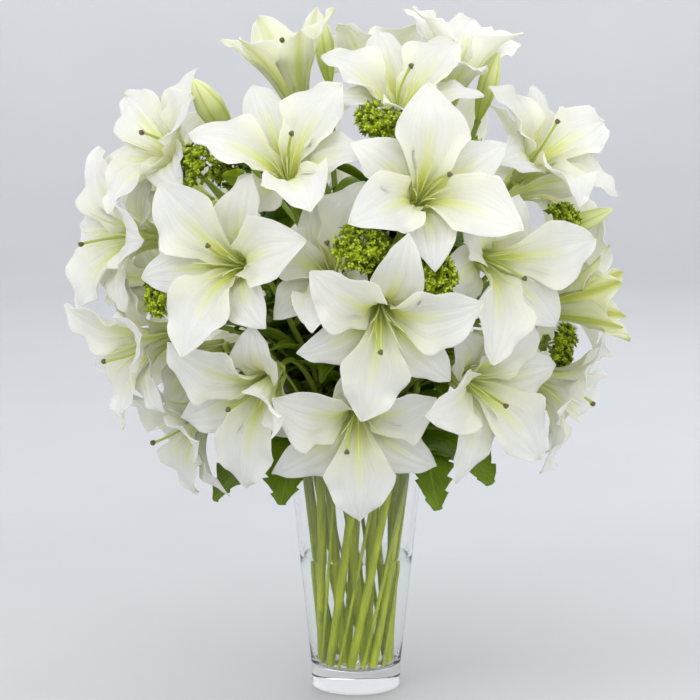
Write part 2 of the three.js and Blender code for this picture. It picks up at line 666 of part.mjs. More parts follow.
// A ray from three points of a mesh to a floret at its tip
function addFloret(mesh, root, tip, facing, radius) {
  const point = (index) => new THREE.Vector3().fromArray(mesh.positions, index * 3);
  const middle = root.reduce((sum, index) => sum.add(point(index)), new THREE.Vector3()).divideScalar(3);
  const offsets = root.map((index) => {
    const offset = point(index).sub(middle);
    return offset.addScaledVector(facing, -offset.dot(facing)).normalize();
  });
  const neck = mesh.positions.length / 3;
  offsets.forEach((offset) => {
    mesh.positions.push(...tip.clone().addScaledVector(facing, -1.5).addScaledVector(offset, 0.8).toArray());
  });
  const star = neck + 3;
  const y = new THREE.Vector3().crossVectors(facing, offsets[0]);
  for (let k = 0; k < 10; k += 1) {
    const reach = k % 2 === 0 ? radius : radius * 0.45;
    const turn = k * 36 * degrees;
    const vertex = tip.clone().addScaledVector(offsets[0], reach * Math.cos(turn));
    mesh.positions.push(...vertex.addScaledVector(y, reach * Math.sin(turn)).toArray());
  }
  const top = addRing(mesh, tip.clone().addScaledVector(facing, 1.4), offsets[0], y, 0, 1);
  joinRings(mesh, star, top, 10, true);
  for (let i = 0; i < 3; i += 1) {
    const next = (i + 1) % 3;
    mesh.faces.push(root[i], root[next], neck + next, root[i], neck + next, neck + i);
  }
  const nearest = (k) => neck + (Math.round(k * 0.3) % 3);
  for (let k = 0; k < 10; k += 1) {
    const next = star + ((k + 1) % 10);
    mesh.faces.push(next, star + k, nearest(k));
    if (nearest(k) !== nearest(k + 1)) mesh.faces.push(next, nearest(k), nearest(k + 1));
  }
}

// A filler spray: branches from the rim to its heads, each with one round leaf under its florets
function makeSpray(spray, index) {
  const owner = `filler_${spray.name}`;
  const { foot, rim, up } = footAndRim(spray, fillerRadius);
  const below = rim.clone().addScaledVector(up, -4);
  const pieces = [rod([foot, rim], [fillerRadius, fillerRadius], 5)];
  spray.heads.forEach((head, k) => {
    const make = ([swing, bow, deeper]) => {
      const target = onDome([head[0] + swing, head[1], head[2] - deeper]);
      const arriving = target.clone().sub(domeCentre).normalize();
      const leaving = up.clone().addScaledVector(arriving, bow).normalize();
      const fork = target.clone().addScaledVector(arriving, -15);
      const stalk = bezier(below, leaving, fork, arriving).getPoints(3);
      const across = new THREE.Vector3(0, 0, 1).cross(arriving).normalize();
      const leafRoot = fork.clone().addScaledVector(arriving, -5);
      const leafTip = fork.clone().addScaledVector(across, 20).addScaledVector(arriving, 2);
      const leaf = makeLeaf(bezier(leafRoot, across, leafTip, across), arriving, 8, 0.2, leafRows);
      return makeBranch(stalk, arriving, 2 * index + k).add(leaf);
    };
    const bows = [0, 0.5, -0.4, 1, 1.6].flatMap((bow) => [0, 12].map((deeper) => [bow, deeper]));
    const choices = [0, 6, -6, 12, -12, 18, -18].flatMap((swing) => bows.map((bow) => [swing, ...bow]));
    const solid = firstClear(choices, make, owner, 0);
    if (solid) pieces.push(solid);
  });
  return pieces.map((piece) => place(piece, owner));
}

// Building it all

const group = new THREE.Group();

function finish(color, roughness, opacity) {
  const transparent = opacity < 1;
  return new THREE.MeshStandardMaterial({ color, roughness, metalness: 0, opacity, transparent });
}

const finishes = {
  petal: finish(0xf4f5ec, 0.5, 1),
  stem: finish(0x86a436, 0.5, 1),
  filler: finish(0x8fae2c, 0.6, 1),
  leaf: finish(0x4a6b1e, 0.5, 1),
  glass: finish(0xe8eeee, 0.05, 0.3),
  water: finish(0xe4efe8, 0.05, 0.3),
};

function addNode(name, solid, kind) {
  const mesh = new THREE.Mesh(geometryOf(solid), finishes[kind]);
  mesh.name = name;
  group.add(mesh);
}

addNode("vase", place(makeVase(), "vase"), "glass");

const stemPieces = new Map(stems.map((stem) => [stem.name, makeLilyStem(stem)]));
stemPieces.forEach((pieces, name) => pieces.forEach((piece) => place(piece, name)));

collarSprays.forEach((spray) => {
  addNode(`collar_leaves_${spray.name}`, joined(makeCollarSpray(spray)), "leaf");
});
sprays.forEach((spray, index) => {
  addNode(`filler_spray_${spray.name}`, joined(makeSpray(spray, index)), "filler");
});
flowers.forEach((flower, index) => {
  addNode(`petals_${flower.name}`, makePerianth(flower, index), "petal");
});
stems.forEach((stem, index) => {
  const leaves = makeStemLeaves(stem, index);
  addNode(`lily_stem_${stem.name}`, joined([...stemPieces.get(stem.name), ...leaves]), "stem");
});

const holes = [
  ...stems.map((stem) => makeHole(stem, stemRadius)),
  ...collarSprays.map((spray) => makeHole(spray, collarRadius)),
  ...sprays.map((spray) => makeHole(spray, fillerRadius)),
];
addNode("water", makeWater(holes), "water");

export default group;
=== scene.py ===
import itertools
import math

import bpy
import numpy as np
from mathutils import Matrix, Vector
from mathutils.kdtree import KDTree


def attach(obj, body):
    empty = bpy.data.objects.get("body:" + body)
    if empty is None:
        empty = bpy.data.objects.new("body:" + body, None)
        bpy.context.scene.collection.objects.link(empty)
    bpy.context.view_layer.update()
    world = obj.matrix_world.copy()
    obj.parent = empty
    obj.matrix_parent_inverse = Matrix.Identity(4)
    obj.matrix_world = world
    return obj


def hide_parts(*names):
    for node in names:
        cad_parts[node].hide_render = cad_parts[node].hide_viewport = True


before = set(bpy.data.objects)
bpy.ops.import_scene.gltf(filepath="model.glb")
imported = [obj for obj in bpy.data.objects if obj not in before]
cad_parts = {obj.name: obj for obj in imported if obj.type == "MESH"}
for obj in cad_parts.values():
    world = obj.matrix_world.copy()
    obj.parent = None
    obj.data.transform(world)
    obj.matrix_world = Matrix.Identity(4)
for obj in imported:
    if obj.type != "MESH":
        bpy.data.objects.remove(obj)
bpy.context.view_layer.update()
print("frame loaded with", len(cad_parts), "nodes")

# Lengths below are in millimetres until a mesh is made, and angles are in degrees.
# Azimuth 0 faces the viewer and grows to the viewer's right, elevation is above level.
vase = {
    "height": 200, "footRadius": 37, "rimRadius": 56, "footHeight": 16,
    "wall": 3.2, "floor": 19, "waterLevel": 112, "seatGap": 0.3,
}
domeCentre = np.array([0, 0, 345.0])

# name, stem, where the base sits on the dome (azimuth, elevation, distance), where it faces, roll,
# length of the petals, how far they open and curl
blooms = [
    ("front_centre", "a", (8, -1, 127), (4, -18), 18, 106, 68, 38),
    ("front_low", "a", (1, -44, 123), (0, -22), 30, 106, 64, 36),
    ("front_left_low", "j", (-34, -30, 124), (-26, -22), 18, 108, 68, 36),
    ("front_left", "j", (-41, 8, 126), (-26, 12), 14, 108, 68, 38),
    ("front_inner", "k", (-8, 2, 110), (-12, 30), 50, 96, 54, 30),
    ("left_high", "k", (-29, 35, 129), (-8, 44), 55, 102, 62, 34),
    ("right_high", "b", (23, 30, 128), (14, 26), 86, 110, 64, 30),
    ("front_right", "c", (44, 12, 129), (36, -2), 12, 108, 66, 38),
    ("front_right_low", "c", (44, -33, 126), (38, -6), 68, 108, 64, 38),
    ("right_upper", "d", (84, 31, 150), (46, 40), 10, 98, 62, 46),
    ("right_half_open", "d", (71, -9, 145), (82, 8), 30, 84, 24, 12),
    ("right_low", "d", (82, -30, 150), (74, -24), 0, 98, 60, 46),
    ("left_upper", "i", (-84, 33, 154), (-52, 34), 30, 98, 64, 46),
    ("left_middle", "i", (-84, 12, 156), (-62, 6), 2, 106, 68, 46),
    ("left_lower", "m", (-78, -16, 150), (-60, -12), 20, 98, 58, 40),
    ("left_low", "m", (-76, -40, 146), (-60, -34), 10, 98, 60, 46),
    ("top_left", "l", (-69, 70, 134), (-60, 74), 50, 94, 34, 16),
    ("top_back", "l", (165, 66, 134), (170, 70), 10, 98, 54, 40),
    ("top_centre", "l", (38, 66, 126), (6, 54), 40, 96, 56, 38),
    ("top_right", "b", (90, 62, 150), (58, 68), 30, 96, 54, 40),
    ("back_right_upper", "e", (118, 22, 142), (116, 26), 0, 102, 64, 46),
    ("back_right_low", "e", (128, -28, 136), (126, -22), 30, 100, 62, 44),
    ("side_right", "e", (108, -4, 138), (108, 0), 12, 102, 64, 46),
    ("back_upper_right", "f", (156, 26, 138), (156, 30), 15, 104, 64, 44),
    ("back_low_right", "f", (168, -24, 134), (168, -16), 40, 102, 62, 42),
    ("back_centre", "f", (-178, 1, 138), (-178, 6), 26, 104, 64, 44),
    ("back_upper_left", "g", (-158, 24, 138), (-158, 28), 20, 104, 64, 44),
    ("back_low_left", "g", (-150, -28, 134), (-152, -22), 50, 100, 62, 42),
    ("back_left_upper", "h", (-118, 20, 142), (-118, 24), 5, 102, 64, 46),
    ("side_left", "h", (-106, -6, 138), (-108, 0), 18, 102, 64, 46),
    ("back_left_low", "h", (-116, -30, 136), (-116, -24), 35, 100, 62, 44),
]
bloomKeys = ("name", "stem", "at", "faces", "roll", "length", "open", "curl")
blooms = [dict(zip(bloomKeys, row)) for row in blooms]

buds = [
    {"stem": "k", "at": (-68, 47, 158), "faces": (-36, 46), "length": 66, "girth": 11.5},
    {"stem": "b", "at": (88, 52, 160), "faces": (60, 72), "length": 58, "girth": 8.5},
    {"stem": "l", "at": (-150, 74, 158), "faces": (-90, 82), "length": 60, "girth": 8.5},
    {"stem": "d", "at": (84, 12, 160), "faces": (84, 24), "length": 56, "girth": 8},
    {"stem": "g", "at": (-140, 2, 158), "faces": (-140, 8), "length": 60, "girth": 9},
    {"stem": "e", "at": (142, 0, 158), "faces": (142, 6), "length": 60, "girth": 9},
]

# name, foot and rim (azimuth, radius), crown (azimuth, radius, height)
stems = [
    ("a", (-60, 26.5), (2, 43), (4, 60, 282)),
    ("c", (-18, 26.5), (47, 43), (48, 62, 292)),
    ("d", (22, 26.5), (86, 43), (84, 72, 306)),
    ("e", (62, 26.5), (125, 43), (124, 66, 298)),
    ("f", (101, 26.5), (163, 43), (162, 64, 296)),
    ("g", (141, 26.5), (-156, 43), (-154, 64, 296)),
    ("h", (-180, 26.5), (-117, 43), (-117, 66, 298)),
    ("m", (-141, 26.5), (-80, 43), (-80, 66, 278)),
    ("j", (-101, 26.5), (-42, 43), (-42, 60, 288)),
    ("b", (140, 11), (40, 24), (44, 46, 376)),
    ("k", (50, 11), (-24, 24), (-28, 44, 352)),
    ("i", (-40, 11), (-92, 25), (-82, 62, 352)),
    ("l", (-130, 11), (170, 24), (-150, 24, 392)),
]

# name, foot, rim, heads on the dome
sprays = [
    ("front_left", (-80, 28), (-20, 48.5), [(-11, 14, 180), (-54, 0, 190)]),
    ("front_right", (-39, 28), (24, 48.5), [(19, 6, 180), (10, 50, 178)]),
    ("right", (42, 28), (105, 48.5), [(74, 14, 182), (80, -20, 180)]),
    ("left", (-160, 28), (-98, 48.5), [(-60, 32, 182)]),
    ("back_left", (161, 28), (-137, 48.5), [(-138, 26, 176)]),
    ("back_right", (82, 28), (144, 48.5), [(140, 30, 176)]),
]

# name, foot, rim, leaf tips (azimuth, radius, height, half width)
collars = [
    ("left", (-121, 28), (-62, 49), [(-72, 122, 164, 26), (-34, 108, 172, 23)]),
    ("right", (2, 28), (66, 49), [(62, 124, 182, 26), (36, 112, 168, 20)]),
    ("back", (121, 28), (184, 49), [(152, 118, 178, 23), (-150, 118, 178, 23)]),
]


def unit(v):
    return v / np.linalg.norm(v)


def direction(azimuth, elevation):
    a, e = math.radians(azimuth), math.radians(elevation)
    return np.array([math.cos(e) * math.sin(a), -math.cos(e) * math.cos(a), math.sin(e)])


def aroundAxis(azimuth, radius, height):
    return direction(azimuth, 0) * radius + np.array([0, 0, height])


def onDome(at):
    return domeCentre + direction(at[0], at[1]) * at[2]


def spread(n):  # a number from 0 to 1 that differs for each n
    return (n * 0.6180339887) % 1


def smooth(x):
    t = np.clip(x, 0, 1)
    return t * t * (3 - 2 * t)


# Each plant node's corners, by which the pose of a petal or leaf is found again
def cornersOf(node):
    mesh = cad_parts[node].data
    corners = np.zeros(len(mesh.vertices) * 3, np.float32)
    mesh.vertices.foreach_get("co", corners)
    return np.unique(np.round(corners.reshape(-1, 3) * 1000, 3), axis=0)


def distanceTo(corners, point):
    return np.sqrt(((corners - point) ** 2).sum(1)).min()


def nearestChoice(corners, choices, tipOf, tolerance=0.05):
    gaps = [distanceTo(corners, tipOf(choice)) for choice in choices]
    best = int(np.argmin(gaps))
    return choices[best] if gaps[best] < tolerance else None


# Trees of nodes. A wire is a socket that can be used in sums.
class Wire:
    def __init__(self, tree, socket):
        self.tree, self.socket = tree, socket

    def maths(self, operation, *terms):
        return addNode(self.tree, "ShaderNodeMath", {"operation": operation}, dict(enumerate(terms)))

    def __add__(self, other):
        return self.maths("ADD", self, other)

    def __radd__(self, other):
        return self.maths("ADD", other, self)

    def __sub__(self, other):
        return self.maths("SUBTRACT", self, other)

    def __rsub__(self, other):
        return self.maths("SUBTRACT", other, self)

    def __mul__(self, other):
        return self.maths("MULTIPLY", self, other)

    def __rmul__(self, other):
        return self.maths("MULTIPLY", other, self)

    def __pow__(self, other):
        return self.maths("POWER", self, other)

    def clamped(self):
        node = self.maths("ADD", self, 0.0)
        node.socket.node.use_clamp = True
        return node


def addNode(tree, kind, settings=None, sockets=None, output=0):
    node = tree.nodes.new(kind)
    for name, value in (settings or {}).items():
        setattr(node, name, value)
    for key, value in (sockets or {}).items():
        if isinstance(value, Wire):
            tree.links.new(value.socket, node.inputs[key])
        else:
            node.inputs[key].default_value = value
    return Wire(tree, node.outputs[output])


def attribute(tree, name):
    return addNode(tree, "ShaderNodeAttribute", {"attribute_name": name}, output="Fac")


def noise(tree, scale, detail=3, stretch=(1, 1, 1)):
    place = addNode(tree, "ShaderNodeTexCoord", output="Object")
    place = addNode(tree, "ShaderNodeMapping", None, {"Vector": place, "Scale": stretch})
    return addNode(tree, "ShaderNodeTexNoise", None, {"Vector": place, "Scale": scale, "Detail": detail})


def mixColours(tree, share, low, high):
    low = (*low, 1) if isinstance(low, tuple) else low
    high = (*high, 1) if isinstance(high, tuple) else high
    return addNode(tree, "ShaderNodeMix", {"data_type": "RGBA"}, {0: share, 6: low, 7: high}, output=2)


def waves(wire):  # from 0 to 1 and back as the wire grows
    return wire.maths("SINE", wire) * 0.5 + 0.5


def bumped(tree, height, strength, distance):
    sockets = {"Height": height, "Strength": strength, "Distance": distance}
    return addNode(tree, "ShaderNodeBump", None, sockets)


def newMaterial(name, fixed):
    material = bpy.data.materials.new(name)
    material.use_nodes = True
    tree = material.node_tree
    shader = tree.nodes["Principled BSDF"]
    for key, value in fixed.items():
        shader.inputs[key].default_value = value
    return material, tree, shader


def lightWithin(weight, radius):
    return {"Subsurface Weight": weight, "Subsurface Radius": radius, "Subsurface Scale": 1.0}


def feed(tree, shader, wires):
    for socket, wire in wires.items():
        tree.links.new(wire.socket, shader.inputs[socket])


# Petals are white, flushed with yellow-green in the throat and along the midrib. The cream flush toward the
# base is partly the petal's own colour and partly painted shade of the cup, and the cream bands across it
# are painted shade of its folds
petalFinish = {
    "white": (0.915, 0.895, 0.775),
    "creamAndShade": (0.72, 0.74, 0.19),
    "throat": (0.64, 0.72, 0.025),
    "deep": (0.56, 0.64, 0.015),
    "back": (0.64, 0.74, 0.36),
    "tip": (0.70, 0.77, 0.42),
    "young": (0.80, 0.82, 0.20),
    "youngRib": (0.33, 0.38, 0.012),
    "roughness": 0.46, "roughnessSpread": 0.16,
    "glow": 0.65, "glowRadius": (0.006, 0.0058, 0.004),
    "cloudScale": 38.0, "grainScale": 900.0, "relief": 0.0007,
    "ribSlope": 3.5, "ribFade": 1.35, "ribShare": 0.85,
    "throatFade": 1.95, "throatShare": 0.95,
    "flushAndShadeFade": 1.3, "flushAndShadeShare": 0.74,
    # painted shade of the petal's folds, in bands across it
    "foldShadePace": 13.0, "foldShadeShare": 0.24,
    "veinPace": 46.0, "veinShare": 0.08,
    "tipStart": 0.93, "tipShare": 0.4,
}


def makePetalMaterial():
    look = petalFinish
    fixed = {**lightWithin(look["glow"], look["glowRadius"]), "Specular IOR Level": 0.4, "Sheen Weight": 0.1}
    material, tree, shader = newMaterial("lilyPetal", fixed)
    along, across, apart, front, young = (
        attribute(tree, name) for name in ("along", "across", "apart", "front", "young"))
    cloud = noise(tree, look["cloudScale"])
    half = across.maths("ABSOLUTE", across)
    off = apart.maths("ABSOLUTE", apart)
    rib = (1 - off * look["ribSlope"]).clamped() ** 1.3 * (1 - along * look["ribFade"]).clamped() ** 0.6
    throat = (1 - along * look["throatFade"] - off * 0.5 + (cloud - 0.5) * 0.5).clamped()
    # Partly painted shade: the cream flush toward the base is the petal's own colour and also stands for the
    # shade inside the cup
    flushAndShade = (1 - along * (look["flushAndShadeFade"] - young * 0.7) + (cloud - 0.5) * 0.3).clamped() ** 1.1
    youngRib = young * ((1 - off * 5.0) * 1.3).clamped() * (1 - along * 0.15)
    veins = waves(across * look["veinPace"] + cloud * 9.0) ** 2.0 * (1 - half * half).clamped()
    # Painted shade: cream bands across the petal's lower half stand for the shade of its folds
    foldShadeBands = waves(across * look["foldShadePace"] + cloud * 5.0) * (1 - half) * (1 - along * 1.2).clamped()
    tips = ((along - look["tipStart"]) * 9.0).clamped() * look["tipShare"]
    back = (1 - front) * ((1 - off * 3.2).clamped() * 0.55 + young * 0.4) * (1 - along * 0.5)

    colour = look["white"]
    for share, name in [
        (flushAndShade * look["flushAndShadeShare"] + foldShadeBands * look["foldShadeShare"], "creamAndShade"),
        (young * (0.9 - half * 0.7), "young"),
        (tips, "tip"),
        (rib * look["ribShare"], "throat"),
        (throat * look["throatShare"], "throat"),
        ((1 - along * 9.0).clamped() * 0.7, "deep"),
        (back, "back"),
        (youngRib, "youngRib"),
        (veins * look["veinShare"], "back"),
    ]:
        colour = mixColours(tree, share, colour, look[name])
    relief = noise(tree, look["grainScale"], 2) * 0.3 + cloud * 0.4 - veins * 0.4
    feed(tree, shader, {
        "Base Color": colour,
        "Roughness": look["roughness"] + (cloud - 0.5) * look["roughnessSpread"],
        "Normal": bumped(tree, relief, 0.5, look["relief"]),
    })
    return material


# Stems, stalks, styles and filaments
greenFinish = {
    "stemLight": (0.63, 0.69, 0.03),
    "stemDark": (0.24, 0.32, 0.010),
    "scar": (0.09, 0.11, 0.02),
    "cut": (0.62, 0.66, 0.36),
    "stalk": (0.24, 0.35, 0.05),
    "style": (0.54, 0.60, 0.14),
    "filament": (0.82, 0.85, 0.48),
    "stigma": (0.13, 0.10, 0.035),
    "leafLight": (0.24, 0.35, 0.012),
    "leafDark": (0.06, 0.125, 0.004),
    "leafRib": (0.26, 0.38, 0.08),
    "bract": (0.42, 0.55, 0.012),
    "bractDark": (0.07, 0.12, 0.003),
    "bead": (0.54, 0.64, 0.06),
    "bud": (0.72, 0.77, 0.24),
    "budRib": (0.38, 0.50, 0.04),
}


def makeStemMaterial():
    material, tree, shader = newMaterial("lilyStem", lightWithin(0.15, (0.002, 0.003, 0.0008)))
    along = attribute(tree, "along")
    fibres = noise(tree, 260.0, 3, (1, 1, 0.05))
    blotches = noise(tree, 22.0, 4)
    scars = ((noise(tree, 75.0, 2, (1, 1, 0.6)) - 0.66) * 12.0).clamped()
    tone = (blotches * 2.2 - 0.6).clamped() * 0.5 + (fibres * 3.0 - 1.0).clamped() * 0.45
    colour = mixColours(tree, tone, greenFinish["stemDark"], greenFinish["stemLight"])
    colour = mixColours(tree, (along * 1.6).clamped() * 0.85, colour, greenFinish["stalk"])
    colour = mixColours(tree, scars * 0.45, colour, greenFinish["scar"])
    colour = mixColours(tree, (along * -6.0).clamped(), colour, greenFinish["cut"])
    relief = bumped(tree, fibres - scars * 0.8, 0.4, 0.0007)
    feed(tree, shader, {"Base Color": colour, "Roughness": 0.3 + blotches * 0.22, "Normal": relief})
    return material


def makeStyleMaterial():
    fixed = {**lightWithin(0.2, (0.002, 0.002, 0.001)), "Roughness": 0.4}
    material, tree, shader = newMaterial("lilyStyle", fixed)
    along = attribute(tree, "along")
    colour = mixColours(tree, noise(tree, 90.0) * 0.6, greenFinish["style"], greenFinish["stalk"])
    colour = mixColours(tree, attribute(tree, "pale"), colour, greenFinish["filament"])
    colour = mixColours(tree, (along * 9.0 - 8.0).clamped(), colour, greenFinish["stigma"])
    feed(tree, shader, {"Base Color": colour, "Normal": bumped(tree, noise(tree, 600.0), 0.2, 0.0004)})
    return material


def makeLeafMaterial(name, light, dark, veinsPerSide):
    fixed = {**lightWithin(0.1, (0.001, 0.002, 0.0005)), "Specular IOR Level": 0.28}
    material, tree, shader = newMaterial(name, fixed)
    along = attribute(tree, "along")
    across = attribute(tree, "across")
    half = across.maths("ABSOLUTE", across)
    cloud = noise(tree, 55.0, 4)
    rib = (1 - half * 14.0).clamped()
    rows = (along - half * 0.34 + (cloud - 0.5) * 0.02) * (veinsPerSide * 2 * math.pi)
    veins = ((rows.maths("SINE", rows) - 0.75) * 4.0).clamped() * (1 - half * 0.6)
    colour = mixColours(tree, cloud, dark, light)
    colour = mixColours(tree, veins * 0.35, colour, greenFinish["leafRib"])
    colour = mixColours(tree, rib * 0.7, colour, greenFinish["leafRib"])
    relief = bumped(tree, cloud * 0.5 - veins - rib + noise(tree, 500.0, 2) * 0.3, 0.5, 0.0009)
    feed(tree, shader, {"Base Color": colour, "Roughness": 0.32 + cloud * 0.22, "Normal": relief})
    return material


def makeFloretMaterial():
    material, tree, shader = newMaterial("fillerFloret", {"Roughness": 0.6, "Specular IOR Level": 0.2})
    cloud = ((noise(tree, 160.0, 2) - 0.5) * 3.5 + 0.5).clamped()
    colour = mixColours(tree, cloud, greenFinish["bractDark"], greenFinish["bract"])
    colour = mixColours(tree, attribute(tree, "bead"), colour, greenFinish["bead"])
    feed(tree, shader, {"Base Color": colour, "Normal": bumped(tree, noise(tree, 700.0), 0.3, 0.0005)})
    return material


def makeBudMaterial():
    material, tree, shader = newMaterial("lilyBud", lightWithin(0.25, (0.004, 0.004, 0.002)))
    along = attribute(tree, "along")
    rib = attribute(tree, "rib")
    cloud = noise(tree, 60.0)
    greener = (1 - along * 1.3).clamped() * 0.6 + rib * 0.5
    colour = mixColours(tree, greener, greenFinish["bud"], greenFinish["budRib"])
    colour = mixColours(tree, (along - 0.25).clamped() * 0.55 * (1 - rib), colour, petalFinish["white"])
    relief = bumped(tree, cloud, 0.25, 0.0008)
    feed(tree, shader, {"Base Color": colour, "Roughness": 0.38 + cloud * 0.2, "Normal": relief})
    return material


# Clear materials let most light through to the stems. Their low indices keep the stems straight and clear.
clearFinish = {
    "glassTint": (0.98, 0.99, 0.985),
    "glassIndex": 1.33,
    "waterTint": (0.985, 0.992, 0.98),
    "waterIndex": 1.07,
    "shade": 0.1,  # the share of light that a shadow ray loses
}


def makeClearMaterial(name, tint, index):
    material, tree, shader = newMaterial(name, {
        "Base Color": (*tint, 1),
        "Roughness": 0.0,
        "IOR": index,
        "Transmission Weight": 1.0,
    })
    ripples = noise(tree, 16.0, 2, (1, 1, 0.4))
    shadow = addNode(tree, "ShaderNodeLightPath", output="Is Shadow Ray")
    passing = 1 - shadow * (1 - clearFinish["shade"])
    feed(tree, shader, {"Normal": bumped(tree, ripples, 0.05, 0.002), "Alpha": passing})
    return material


materials = {
    "petal": makePetalMaterial(),
    "stem": makeStemMaterial(),
    "style": makeStyleMaterial(),
    "leaf": makeLeafMaterial("stemLeaf", greenFinish["leafLight"], greenFinish["leafDark"], 0.0),
    "collar": makeLeafMaterial("collarLeaf", greenFinish["leafLight"], greenFinish["leafDark"], 9.0),
    "fillerLeaf": makeLeafMaterial("fillerLeaf", greenFinish["bract"], greenFinish["leafLight"], 5.0),
    "floret": makeFloretMaterial(),
    "bud": makeBudMaterial(),
    "glass": makeClearMaterial("clearGlass", clearFinish["glassTint"], clearFinish["glassIndex"]),
    "water": makeClearMaterial("clearWater", clearFinish["waterTint"], clearFinish["waterIndex"]),
}
print("materials made")


# Meshes. A part is a dictionary of points in millimetres, faces, and a value of each layer for each point.
def joinParts(parts):
    layers = {name: [] for name in parts[0]["layers"]}
    points, faces, start = [], [], 0
    for part in parts:
        points.append(part["points"])
        faces += [tuple(start + i for i in face) for face in part["faces"]]
        for name in layers:
            layers[name].append(np.broadcast_to(part["layers"][name], len(part["points"])))
        start += len(part["points"])
    layers = {name: np.concatenate(values) for name, values in layers.items()}
    return {"points": np.concatenate(points), "faces": faces, "layers": layers}


def makeObject(name, part, material, flatFaces=()):
    mesh = bpy.data.meshes.new(name)
    mesh.from_pydata((part["points"] * 0.001).tolist(), [], part["faces"])
    for layer, values in part["layers"].items():
        stored = mesh.attributes.new(layer, "FLOAT", "POINT")
        stored.data.foreach_set("value", np.asarray(values, np.float32))
    smoothed = np.ones(len(mesh.polygons), bool)
    smoothed[list(flatFaces)] = False
    mesh.polygons.foreach_set("use_smooth", smoothed)
    mesh.materials.append(materials[material])
    piece = bpy.data.objects.new(name, mesh)
    bpy.context.scene.collection.objects.link(piece)
    return piece


def settle(piece, slot, *nodes):
    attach(piece, "root")
    if nodes:
        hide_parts(*nodes)


# A thin blade round a grid of points, closed along its edges, at its base and at its tip. Rows run along
# the blade and columns across it. Its front is where the rows' direction crossed with the columns' points.
def shellOf(grid, tip, half, layers):
    rows, columns = grid.shape[:2]
    alongStep = np.gradient(grid, axis=0)
    acrossStep = np.gradient(grid, axis=1)
    normals = np.cross(alongStep, acrossStep)
    normals /= np.linalg.norm(normals, axis=2, keepdims=True) + 1e-12
    front = (grid + normals * half[..., None]).reshape(-1, 3)
    rear = (grid - normals * half[..., None]).reshape(-1, 3)
    points = np.concatenate([front, rear, [tip]])
    count = rows * columns
    at = lambda i, j: i * columns + j
    faces = []
    for i in range(rows - 1):
        for j in range(columns - 1):
            a, b, c, d = at(i, j), at(i + 1, j), at(i + 1, j + 1), at(i, j + 1)
            faces.append((a, b, c, d))
            faces.append((count + a, count + d, count + c, count + b))
    last = rows - 1
    for j in range(columns - 1):
        faces.append((at(last, j), 2 * count, at(last, j + 1)))
        faces.append((count + at(last, j), count + at(last, j + 1), 2 * count))
        faces.append((at(0, j), at(0, j + 1), count + at(0, j + 1), count + at(0, j)))
    for i in range(last):
        a, b = at(i, 0), at(i + 1, 0)
        faces.append((a, count + a, count + b, b))
        a, b = at(i, columns - 1), at(i + 1, columns - 1)
        faces.append((a, b, count + b, count + a))
    faces.append((at(last, 0), count + at(last, 0), 2 * count))
    faces.append((at(last, columns - 1), 2 * count, count + at(last, columns - 1)))
    stored = {"front": np.concatenate([np.ones(count), np.zeros(count), [0.5]])}
    for name, (values, atTip) in layers.items():
        flat = np.broadcast_to(values, (rows, columns)).ravel()
        stored[name] = np.concatenate([flat, flat, [atTip]])
    return {"points": points, "faces": faces, "layers": stored}


# A surface turned about an axis: rings of points joined in a loop, or closed at both ends on the axis
def turnedPart(base, x, y, z, profile, sides, lobes=0, lobeDepth=0.0, twist=0.0, closedLoop=False):
    turns = 2 * np.pi * np.arange(sides) / sides
    points = []
    for r, h in profile:
        reach = r * (1 + lobeDepth * np.cos(lobes * turns + twist))
        ring = np.outer(reach * np.cos(turns), x) + np.outer(reach * np.sin(turns), y)
        points.append(ring + base + z * h)
    count = len(profile)
    faces = []
    for i in range(count if closedLoop else count - 1):
        low, high = i * sides, (i + 1) % count * sides
        for k in range(sides):
            n = (k + 1) % sides
            faces.append((low + k, low + n, high + n, high + k))
    if not closedLoop:
        points += [[base + z * profile[0][1]], [base + z * profile[-1][1]]]
        first, last = count * sides, count * sides + 1
        for k in range(sides):
            n = (k + 1) % sides
            faces.append((first, n, k))
            faces.append((last, (count - 1) * sides + k, (count - 1) * sides + n))
    return {"points": np.concatenate(points), "faces": faces, "layers": {}}


def flowerFrame(flower):
    z = direction(*flower["faces"])
    level = unit(np.cross((0, 0, 1), z))
    upright = np.cross(z, level)
    turn = math.radians(flower.get("roll", 0))
    x = level * math.cos(turn) + upright * math.sin(turn)
    return onDome(flower["at"]), x, np.cross(z, x), z


# Petals
petalShape = {
    "rows": 21,
    "columns": (0, 0.04, 0.09, 0.16, 0.25, 0.35, 0.46, 0.57, 0.68, 0.78, 0.87, 0.94, 1),
    "lifts": (0, -8, 8, -16, 16, -24, 24, -32, 32, -40, -48),
    "swings": (0, 8, -8, 16, -16, 24, -24),
    "reaches": (1, 0.9, 0.8, 0.68),
    "tipRows": (0.91, 0.935, 0.957, 0.975, 0.989, 0.997),
    "forLength": 105,  # the petal length that the half widths below are for
    "swingShare": 0.62,
    "seatRadius": 5.4,
    "widest": 0.52,
    "halfThickness": 0.3,
    "channel": 1.4, "channelWidth": 0.08,
    "pleats": 0.95, "pleatPace": 15.0,
    "recurve": 0.1,
    "twist": 0.3, "twistDraw": 29,
    "sweep": 9.0, "sweepDraw": 53,
    "widthSpread": 0.14, "widthDraw": 97,
    "markWidth": 29,
    "bendSteps": 40,
    "seat": [(2.2, -0.6), (3.6, -0.5), (5.0, 0.4), (5.7, 2.0), (5.2, 3.8), (3.8, 4.6), (2.2, 4.2)],
}
broadPetal = {"throat": 14, "halfWidth": 31.5, "wave": 1.2, "back": 0, "ruffle": 4.0, "crimp": 1.3}
narrowPetal = {"throat": 15, "halfWidth": 23.5, "wave": -0.8, "back": 2.4, "ruffle": 2.4, "crimp": 0.8}


def lanceolate(s):
    widest = petalShape["widest"]
    low = 0.2 + 0.8 * smooth(s / (widest + 0.03))
    u = np.clip((s - widest) / (1 - widest), 0, 1)
    return np.where(s < widest, low, (1 - u ** 1.75) ** 0.95)


